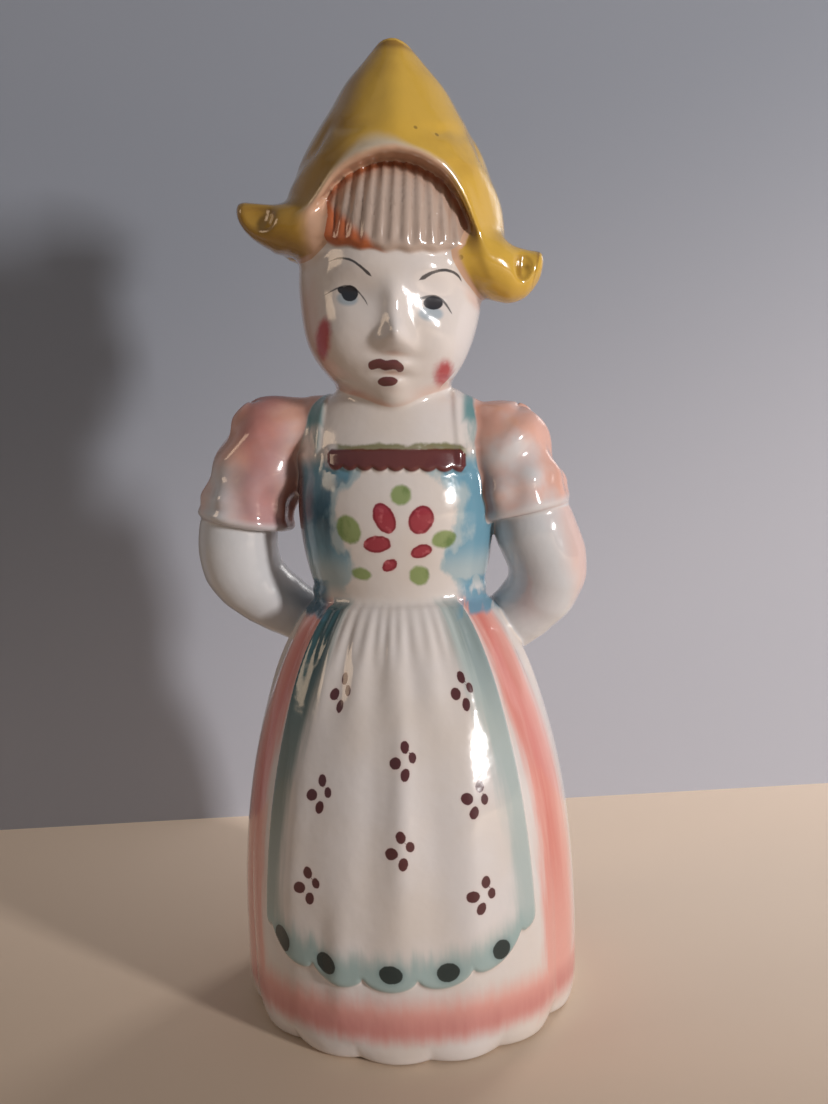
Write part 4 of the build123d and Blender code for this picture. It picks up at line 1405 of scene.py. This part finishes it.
@dataclass(frozen=True)
class FacePaint:
    """The painted face and hair."""

    blush: Colour = tint(176, 62, 68)
    # Warm tone: painted shade in the head's hollows and down its right side, and the lower part of the blush.
    warm: Colour = tint(200, 150, 126)
    ink: Colour = tint(26, 26, 34)
    iris: Colour = tint(120, 152, 172)
    lip: Colour = tint(88, 8, 14)
    hair: Colour = tint(166, 140, 122)
    strand: Colour = tint(98, 62, 40)
    orange: Colour = tint(176, 88, 38)
    pupils: tuple[Dab, ...] = (Dab(-5.0, 152.9, 1.7, 1.55, -12.0), Dab(-6.5, 153.6, 1.1, 0.7, -20.0),
                               Dab(11.1, 150.6, 1.8, 1.3, 6.0))
    irises: tuple[Dab, ...] = (Dab(-5.6, 151.9, 2.2, 1.3, -12.0), Dab(10.6, 148.5, 2.3, 1.4, 0.0))
    cheeks: tuple[Dab, ...] = (Dab(-11.4, 144.8, 1.8, 3.9, -14.0), Dab(12.2, 137.2, 1.5, 2.6, -24.0))
    chin: tuple[Dab, ...] = (Dab(-3.5, 132.0, 6.0, 2.2, -20.0),)
    lower_lip: tuple[Dab, ...] = (Dab(1.3, 135.8, 2.1, 0.95, 0.0),)
    upper_lip: Stroke = Stroke(((-1.7, 138.9), (-0.1, 139.3), (1.4, 138.8), (3.1, 139.0), (4.2, 138.2)),
                               0.95, 0.85, 0.9)
    lids: tuple[Stroke, ...] = (
        Stroke(((-10.4, 153.2), (-8.9, 153.7), (-7.2, 154.2), (-5.3, 154.3), (-3.6, 153.4), (-2.1, 151.6),
                (-1.5, 150.5)), 0.2),
        Stroke(((6.8, 149.6), (7.6, 150.5), (8.8, 151.3), (11.0, 151.9), (12.6, 151.4), (13.7, 150.1),
                (14.4, 148.9)), 0.3),
    )
    brows: tuple[Stroke, ...] = (
        Stroke(((-9.1, 159.4), (-6.9, 159.7), (-4.5, 159.1), (-2.6, 157.8), (-0.9, 156.2)), 0.24, 0.3, 1.4),
        Stroke(((9.5, 155.2), (11.3, 156.2), (13.4, 156.8), (15.0, 156.6), (16.0, 156.0), (16.5, 155.2)),
               0.28, 1.4, 0.3),
    )

    def touches(self, x: np.ndarray, y: np.ndarray, z: np.ndarray) -> dict[str, np.ndarray]:
        """Where the brushes touched the face."""
        face = (y < -8.0) & (z > 125.0) & (z < 165.0)
        elsewhere = np.where(face, 0.0, FAR)
        lines = {}
        for name, strokes in (("lid", self.lids), ("brow", self.brows)):
            measures = [stroke.measure(x[face], z[face]) for stroke in strokes]
            nearest = np.argmin([away for away, _, _ in measures], axis=0)
            for part, index, empty in (("offset", 1, FAR), ("half", 2, 0.0)):
                lines[f"{name}_{part}"] = np.full(len(x), empty)
                lines[f"{name}_{part}"][face] = np.choose(nearest, [measure[index] for measure in measures])
        lips = outside_all(self.lower_lip, x, z)
        away, _, width = self.upper_lip.measure(x[face], z[face])
        lips[face] = np.minimum(lips[face], away - width)
        return {
            "pupils": outside_all(self.pupils, x, z) + elsewhere,
            "irises": outside_all(self.irises, x, z) + elsewhere,
            "blush": np.minimum(outside_all(self.cheeks, x, z),
                                outside_all(self.chin, x, z) + 0.8) + elsewhere,
            "lips": lips + elsewhere,
            **lines,
        }

    def dress(self, paint: Paint) -> None:
        """Paints the face, with painted shade in its hollows and down its right side, then the hair."""
        bench = paint.bench
        front = bench.plane(bench.x, bench.z)
        head = bench.mark("in_head").ramp(-0.3, 0.3) & bench.y.ramp(0.0, -5.0)
        # Painted shade: a warm tone laid in the head's deep hollows, such as under the chin and beside the
        # nose.
        paint.lay(head * bench.mark("far_groove").ramp(0.1, 1.2), self.warm, 0.45)
        # Painted shade: the right side of the face (-X), from the brows down, is warmed and darkened.
        jaw_shade = (bench.x + (bench.z - 150.0) * 0.25 + (paint.ragged * 4.0)).ramp(-9.0, -16.0)
        jaw_shade = jaw_shade & bench.z.ramp(160.0, 150.0)
        paint.lay(head & jaw_shade, self.warm, 0.55)
        below = bench.z.ramp(136.0, 133.0)
        blush = bench.touched("blush", paint.ragged * 2.0, 1.1) & head
        paint.lay(blush * (1.0 - below), self.blush, 0.92)
        paint.lay(blush * below, self.warm, 0.5)
        paint.lay(bench.touched("irises", 0.0, 0.5) & head, self.iris, 0.6)
        paint.lay(bench.drawn("lid", paint.ragged * 0.2) & head, self.ink, 0.8)
        paint.lay(bench.drawn("brow", paint.ragged * 0.2) & head, self.ink, 0.9)
        paint.lay(bench.touched("pupils", paint.ragged * 0.4) & head, self.ink, 0.97)
        paint.lay(bench.touched("lips", paint.ragged * 0.6) & head, self.lip, 0.93)
        hair = bench.mark("in_fringe").ramp(-0.4, 0.5) & bench.y.ramp(-2.0, -6.0)
        paint.lay(hair, self.hair, 0.75)
        comb = bench.noise(bench.stretched(front, (1.0, 0.12, 1.0)), 0.5, 3.0)
        # Dark strands in the grooves between the locks, strongest in the middle under the brim: partly
        # brushwork, partly painted shade.
        locks = (bench.mark("groove") + (comb - 0.5) * 0.9).ramp(-0.05, 0.5) & bench.z.ramp(160.0, 163.0)
        paint.lay((hair & locks) * (bench.x.bell(0.0, 16.0) * 0.6 + 0.3), self.strand, 0.9)
        left = (bench.x + (bench.z - 162.0) * 1.0 + (comb - 0.5) * 3.0).ramp(1.5, -1.5)
        under = (bench.mark("from_brim") + (comb - 0.5) * 2.0).ramp(-2.6, -0.4)
        paint.lay(hair & under, self.orange, 0.6)
        paint.lay(hair & left, self.orange, 0.92)


@dataclass(frozen=True)
class CapPaint:
    """The yellow cap with its pale lip."""

    yellow: Colour = tint(206, 166, 66)
    # Brown of the thin glaze's random tone, and of the painted shade in the cap's hollows and on its right
    # side.
    brown: Colour = tint(122, 86, 32)
    lip: Colour = tint(204, 188, 164)
    peach: Colour = tint(196, 134, 104)
    speck: Colour = tint(96, 74, 34)

    def dress(self, paint: Paint) -> None:
        """Paints the cap over whatever lies beneath its edge, with painted shade in its hollows and down the
        front of its right side.
        """
        bench = paint.bench
        cap = bench.mark("in_cap").ramp(-0.12, 0.12)
        streaks = bench.noise(bench.stretched(bench.place, (0.5, 0.5, 0.22)), 0.35, 3.0)
        paint.lay(cap, self.lip)
        middle = bench.x.bell(1.0, 9.0)
        brim = bench.mark("from_brim") + (streaks - 0.5) * (middle * 2.0 + 0.6)
        paint.lay(cap & brim.ramp(1.6, 0.2), self.peach, 0.55)
        aside = bench.mark("in_cap").ramp(0.8, 1.8) & abs(bench.x - 1.0).ramp(13.0, 17.0)
        yellow = cap & ((brim / (middle * 1.8 + 1.0)).ramp(0.5, 1.9) | aside)
        paint.lay(yellow, self.yellow)
        thin = bench.noise(bench.place, 0.09, 3.0).ramp(0.45, 0.75)
        paint.lay(yellow * thin, self.brown, 0.25)
        # Painted shade: brown laid in the cap's deep hollows, such as the roots of its wings.
        paint.lay(yellow & bench.mark("far_groove").ramp(0.05, 1.3), self.brown, 0.75)
        # Painted shade: the front of the cap browns towards its right side (-X).
        shade = (bench.x - (bench.z - 170.0) * 0.05 + (streaks - 0.5) * 2.0).ramp(1.0, -7.0)
        shade = shade & bench.y.ramp(2.0, -4.0)
        paint.lay(yellow & shade, self.brown, 0.6)
        specks = bench.node("ShaderNodeTexVoronoi", {}, {"Vector": bench.place, "Scale": 0.16}, "Distance")
        paint.lay(yellow & specks.ramp(0.09, 0.05), self.speck, 0.6)


@dataclass(frozen=True)
class SleevePaint:
    """Peach sleeves with painted shade in their folds and where they meet the body, and pale forearms."""

    peach: Colour = tint(218, 160, 138)
    rose: Colour = tint(170, 92, 92)
    # Orange-brown of the painted shade in the sleeves' folds and where they meet the body.
    fold_shade: Colour = tint(150, 78, 52)
    forearm: Colour = tint(204, 204, 206)

    def dress(self, paint: Paint) -> None:
        """Paints both arms."""
        bench = paint.bench
        arm = bench.mark("in_arm").ramp(-0.3, 0.3)
        below = bench.mark("below_cuff")
        sleeve = arm & below.ramp(0.3, -0.5)
        streaks = bench.noise(bench.stretched(bench.place, (1.0, 1.0, 0.3)), 0.2, 3.0)
        paint.lay(arm, self.forearm)
        outside = (bench.x + (bench.z - 100.0) * 0.2 + (streaks - 0.5) * 6.0).ramp(33.0, 41.0)
        paint.lay(arm & below.ramp(0.0, 1.0) & outside, self.peach, 0.55)
        left = bench.x.ramp(-2.0, 2.0)
        patches = bench.noise(bench.place, 0.085, 3.0)
        shift = patches + outside * 0.3 + bench.z.ramp(118.0, 128.0) * 0.2
        paint.lay(sleeve * shift.ramp(0.3, 0.75), self.peach, 0.85)
        inner = (abs(bench.x + 28.0) + (patches - 0.5) * 14.0).ramp(8.0, 1.0)
        paint.lay((sleeve * (1.0 - left)) & inner, self.rose, 0.6)
        # Painted shade: an orange-brown laid in the sleeves' deep folds and in the crease where they meet the
        # body.
        paint.lay(sleeve & bench.mark("far_groove").ramp(0.0, 1.3), self.fold_shade, 0.6)
        paint.lay(sleeve & below.ramp(-2.6, -0.6), self.forearm, 0.75)


@dataclass(frozen=True)
class Glaze:
    """The clear glaze over the paint, and the clay body."""

    clay: Colour = tint(216, 209, 206)
    cream: Colour = tint(208, 194, 180)
    bare: Colour = tint(196, 178, 156)

    def dress(self, pieces: list[bpy.types.Object]) -> None:
        """Paints and glazes the casting.

        Args:
            pieces: The cast pieces, which share one coat.
        """
        bench = Bench("painted_glaze")
        mottle = bench.noise(bench.place, 0.05, 3.0)
        base = bench.mix(mottle.ramp(0.35, 0.7) * 0.5, self.clay, self.cream)
        paint = Paint(bench, base, (bench.noise(bench.place, 0.9, 2.0) - 0.5) * 0.45)
        paint.lay(bench.mark("groove").ramp(0.0, 0.7), self.cream, 0.4)
        for brushwork in (SkirtPaint(), BodicePaint(), SleevePaint(), FacePaint(), CapPaint()):
            brushwork.dress(paint)
        foot = bench.z.ramp(0.5, 0.15)
        paint.lay(foot, self.bare)
        waves = bench.noise(bench.place, 0.12, 2.0) + bench.noise(bench.place, 0.5, 1.0) * 0.25
        bump = bench.bump(0.16, 0.0012, waves)
        roughness = bench.noise(bench.place, 0.3, 2.0) * 0.1 + 0.1 + foot * 0.6
        coat = bench.finish({"Base Color": paint.colour, "Roughness": roughness, "Normal": bump,
                             "Coat Weight": 0.5, "Coat Roughness": 0.03, "Specular IOR Level": 0.5})
        for piece in pieces:
            piece.data.materials.append(coat)
            log.info("%s: painted and glazed", piece.name)


@dataclass(frozen=True)
class Stopper:
    """The cork and the sprinkling rose, which keep their CAD forms."""

    bark: Colour = tint(168, 122, 82)
    pith: Colour = tint(110, 72, 44)
    metal: Colour = tint(200, 202, 204)
    dull: Colour = tint(150, 152, 150)

    def cork(self) -> bpy.types.Material:
        """Bark with its dark pores."""
        bench = Bench("cork_bark")
        grain = bench.noise(bench.place, 0.9, 5.0)
        pores = bench.node("ShaderNodeTexVoronoi", {}, {"Vector": bench.place, "Scale": 0.45}, "Distance")
        colour = bench.mix(grain.ramp(0.3, 0.7), self.pith, self.bark)
        colour = bench.mix(pores.ramp(0.3, 0.12), colour, self.pith)
        bump = bench.bump(0.6, 0.0004, grain)
        return bench.finish({"Base Color": colour, "Roughness": 0.85, "Normal": bump})

    def rose(self) -> bpy.types.Material:
        """Spun metal, dulled by water."""
        bench = Bench("spun_metal")
        stain = bench.noise(bench.place, 0.35, 4.0)
        spun = bench.noise(bench.stretched(bench.place, (1.0, 1.0, 9.0)), 0.6, 2.0)
        colour = bench.mix(stain.ramp(0.4, 0.75), self.metal, self.dull)
        bump = bench.bump(0.15, 0.0002, spun)
        return bench.finish({"Base Color": colour, "Metallic": 1.0, "Roughness": stain * 0.25 + 0.22,
                             "Normal": bump})

    def dress(self, nodes: dict[str, bpy.types.Object]) -> None:
        """Gives the stopper's CAD nodes their finishes."""
        bark, metal = self.cork(), self.rose()
        finishes = {"cork": bark, "rose_stem": metal, "rose_base": metal, "rose_dome": metal}
        for name, finish in finishes.items():
            nodes[name].data.materials.clear()
            nodes[name].data.materials.append(finish)
            log.info("%s: %s", name, finish.name)


@dataclass(frozen=True)
class Lamp:
    """One soft box.

    Attributes:
        place: Where it hangs, in metres.
        size: Its width and height, in metres.
        power: Its watts.
        colour: Its light.
    """

    place: Point
    size: tuple[float, float]
    power: float
    colour: Colour

    def hang(self, name: str) -> None:
        """Hangs it so that it faces the figure.

        Args:
            name: The lamp's name.
        """
        light = bpy.data.lights.new(name, "AREA")
        light.shape, light.size, light.size_y = "RECTANGLE", self.size[0], self.size[1]
        light.energy, light.color = self.power, self.colour
        lamp = bpy.data.objects.new(name, light)
        aim = Vector((0.0, 0.0, 0.1)) - Vector(self.place)
        lamp.matrix_world = Matrix.Translation(self.place) @ aim.to_track_quat("-Z", "Y").to_matrix().to_4x4()
        bpy.context.scene.collection.objects.link(lamp)


@dataclass(frozen=True)
class Studio:
    """Floor, backdrop, lights and the camera that the photograph was taken with.

    Attributes:
        eye: The camera's place, in millimetres.
        turn: Degrees that it looks to the left of +Y.
        down: Degrees that it looks down.
        roll: Degrees that the picture is turned.
        focal: Its focal length, in pixels of the frame.
        frame_height: Height of the frame, in pixels.
        floor: Colours of the floor: painted shade at its front and painted light towards its back and +X.
        backdrop: Colours of the backdrop: painted shade towards its top and -X, lighter low down and towards
            +X.
        floor_shading: Where the floor's painted light and shade run from one colour to the other.
        backdrop_shading: Where the backdrop's painted shade runs from one colour to the other.
        backdrop_line: Two places where the backdrop stands on the floor, in metres.
        floor_reach: How far the floor reaches each way, in metres.
        backdrop_reach: How often the backdrop's line is repeated at each end of it.
        backdrop_height: The backdrop's height, in metres.
        air: The colour of the light from all round.
        air_levels: Its strength on the figure, and as the camera sees it past the stage.
        window: The lamp at the figure's left, the one that its glaze reflects.
        behind: The lamp behind the backdrop, for views of the back.
        room: The warm lamp at the figure's right.
    """

    eye: Point = (29.1, -209.0, 122.0)
    turn: float = 7.0
    down: float = 6.1
    roll: float = 2.0
    focal: float = 956.0
    frame_height: float = 1104.0
    floor: tuple[Colour, Colour] = (tint(196, 174, 152), tint(244, 222, 200))
    backdrop: tuple[Colour, Colour] = (tint(142, 148, 160), tint(182, 184, 194))
    # Painted light and shade: the floor runs darker to its front, the backdrop darker to its top and -X.
    floor_shading: tuple[Point, float, float] = ((0.3, 1.0, 0.0), -90.0, 90.0)
    backdrop_shading: tuple[Point, float, float] = ((0.35, 0.0, -1.0), -230.0, -30.0)
    backdrop_line: tuple[Point, Point] = ((-0.1497, 0.081, 0.0), (0.1315, 0.1325, 0.0))
    floor_reach: float = 3.0
    backdrop_reach: float = 4.0
    backdrop_height: float = 3.0
    air: Colour = (0.9, 0.95, 1.0)
    air_levels: tuple[float, float] = (0.19, 0.55)
    window: Lamp = Lamp((0.86, -0.54, 0.26), (0.08, 0.17), 8.0, (1.0, 0.96, 0.94))
    behind: Lamp = Lamp((0.5, 0.8, 0.45), (0.25, 0.25), 3.0, (1.0, 0.97, 0.94))
    room: Lamp = Lamp((-0.82, -0.3, 0.45), (0.3, 0.3), 0.9, (1.0, 0.74, 0.52))

    def camera(self) -> None:
        """Sets the camera up."""
        lens = bpy.data.cameras.new("camera")
        lens.sensor_width = 36.0
        lens.lens = self.focal * lens.sensor_width / self.frame_height
        lens.clip_start, lens.clip_end = 0.01, 20.0
        camera = bpy.data.objects.new("camera", lens)
        turn, down, roll = (math.radians(angle) for angle in (self.turn, self.down, self.roll))
        turned = Matrix.Rotation(turn, 4, "Z") @ Matrix.Rotation(math.pi / 2 - down, 4, "X")
        turned = turned @ Matrix.Rotation(-roll, 4, "Z")
        camera.matrix_world = Matrix.Translation(Vector(self.eye) * MM) @ turned
        bpy.context.scene.collection.objects.link(camera)
        bpy.context.scene.camera = camera

    def sheet(self, name: str, corners: list[Point], colours: tuple[Colour, Colour],
              drift: tuple[Point, float, float]) -> None:
        """Lays one sheet of the stage, its colour running between two as painted light and shade.

        Args:
            name: The sheet's name.
            corners: Its corners, in metres.
            colours: Its darker and its lighter colour, for painted shade and painted light.
            drift: The direction in which its painted light and shade run, and where the first colour ends and
                the second begins.
        """
        mesh = bpy.data.meshes.new(name)
        mesh.from_pydata(corners, [], [tuple(range(len(corners)))])
        sheet = bpy.data.objects.new(name, mesh)
        bpy.context.scene.collection.objects.link(sheet)
        bench = Bench(f"plain_{name}")
        # Painted light and shade: the sheet runs from its darker to its lighter colour along one direction.
        along, first, second = drift
        way = bench.x * along[0] + bench.y * along[1] + bench.z * along[2]
        fibre = bench.noise(bench.place, 0.8, 3.0)
        bump = bench.bump(0.05, 0.0003, fibre)
        back = bench.node("ShaderNodeNewGeometry", {}, {}, "Backfacing")
        mesh.materials.append(bench.finish({"Base Color": bench.mix(way.ramp(first, second), *colours),
                                            "Roughness": 0.8, "Normal": bump}, clear=back))
        sheet.visible_shadow = False

    def world(self) -> None:
        """Fills the air with plain light."""
        world = bpy.data.worlds.new("studio")
        world.use_nodes = True
        bpy.context.scene.world = world
        nodes, links = world.node_tree.nodes, world.node_tree.links
        rays = nodes.new("ShaderNodeLightPath")
        level = nodes.new("ShaderNodeMapRange")
        level.inputs["To Min"].default_value, level.inputs["To Max"].default_value = self.air_levels
        links.new(rays.outputs["Is Camera Ray"], level.inputs["Value"])
        links.new(level.outputs["Result"], nodes["Background"].inputs["Strength"])
        nodes["Background"].inputs["Color"].default_value = (*self.air, 1.0)

    def build(self) -> None:
        """Lays the stage and lights it."""
        reach = self.floor_reach
        corners = [(-reach, -reach, 0), (reach, -reach, 0), (reach, reach, 0), (-reach, reach, 0)]
        self.sheet("floor", corners, self.floor, self.floor_shading)
        left, right = (Vector(corner) for corner in self.backdrop_line)
        beyond = (right - left) * self.backdrop_reach
        far_left, far_right = left - beyond, right + beyond
        rise = Vector((0.0, 0.0, self.backdrop_height))
        corners = [tuple(corner) for corner in (far_left, far_right, far_right + rise, far_left + rise)]
        self.sheet("backdrop", corners, self.backdrop, self.backdrop_shading)
        self.world()
        for name, lamp in (("window", self.window), ("behind", self.behind), ("room", self.room)):
            lamp.hang(name)
        bpy.context.scene.view_settings.view_transform = "Standard"
        self.camera()


def main() -> None:
    """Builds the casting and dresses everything."""
    logging.basicConfig(level=logging.INFO, format="%(name)s %(message)s")
    figure = Figure(step=0.45)
    Glaze().dress(figure.build())
    Stopper().dress(frame["nodes"])
    Studio().build()


if __name__ == "__main__":
    main()
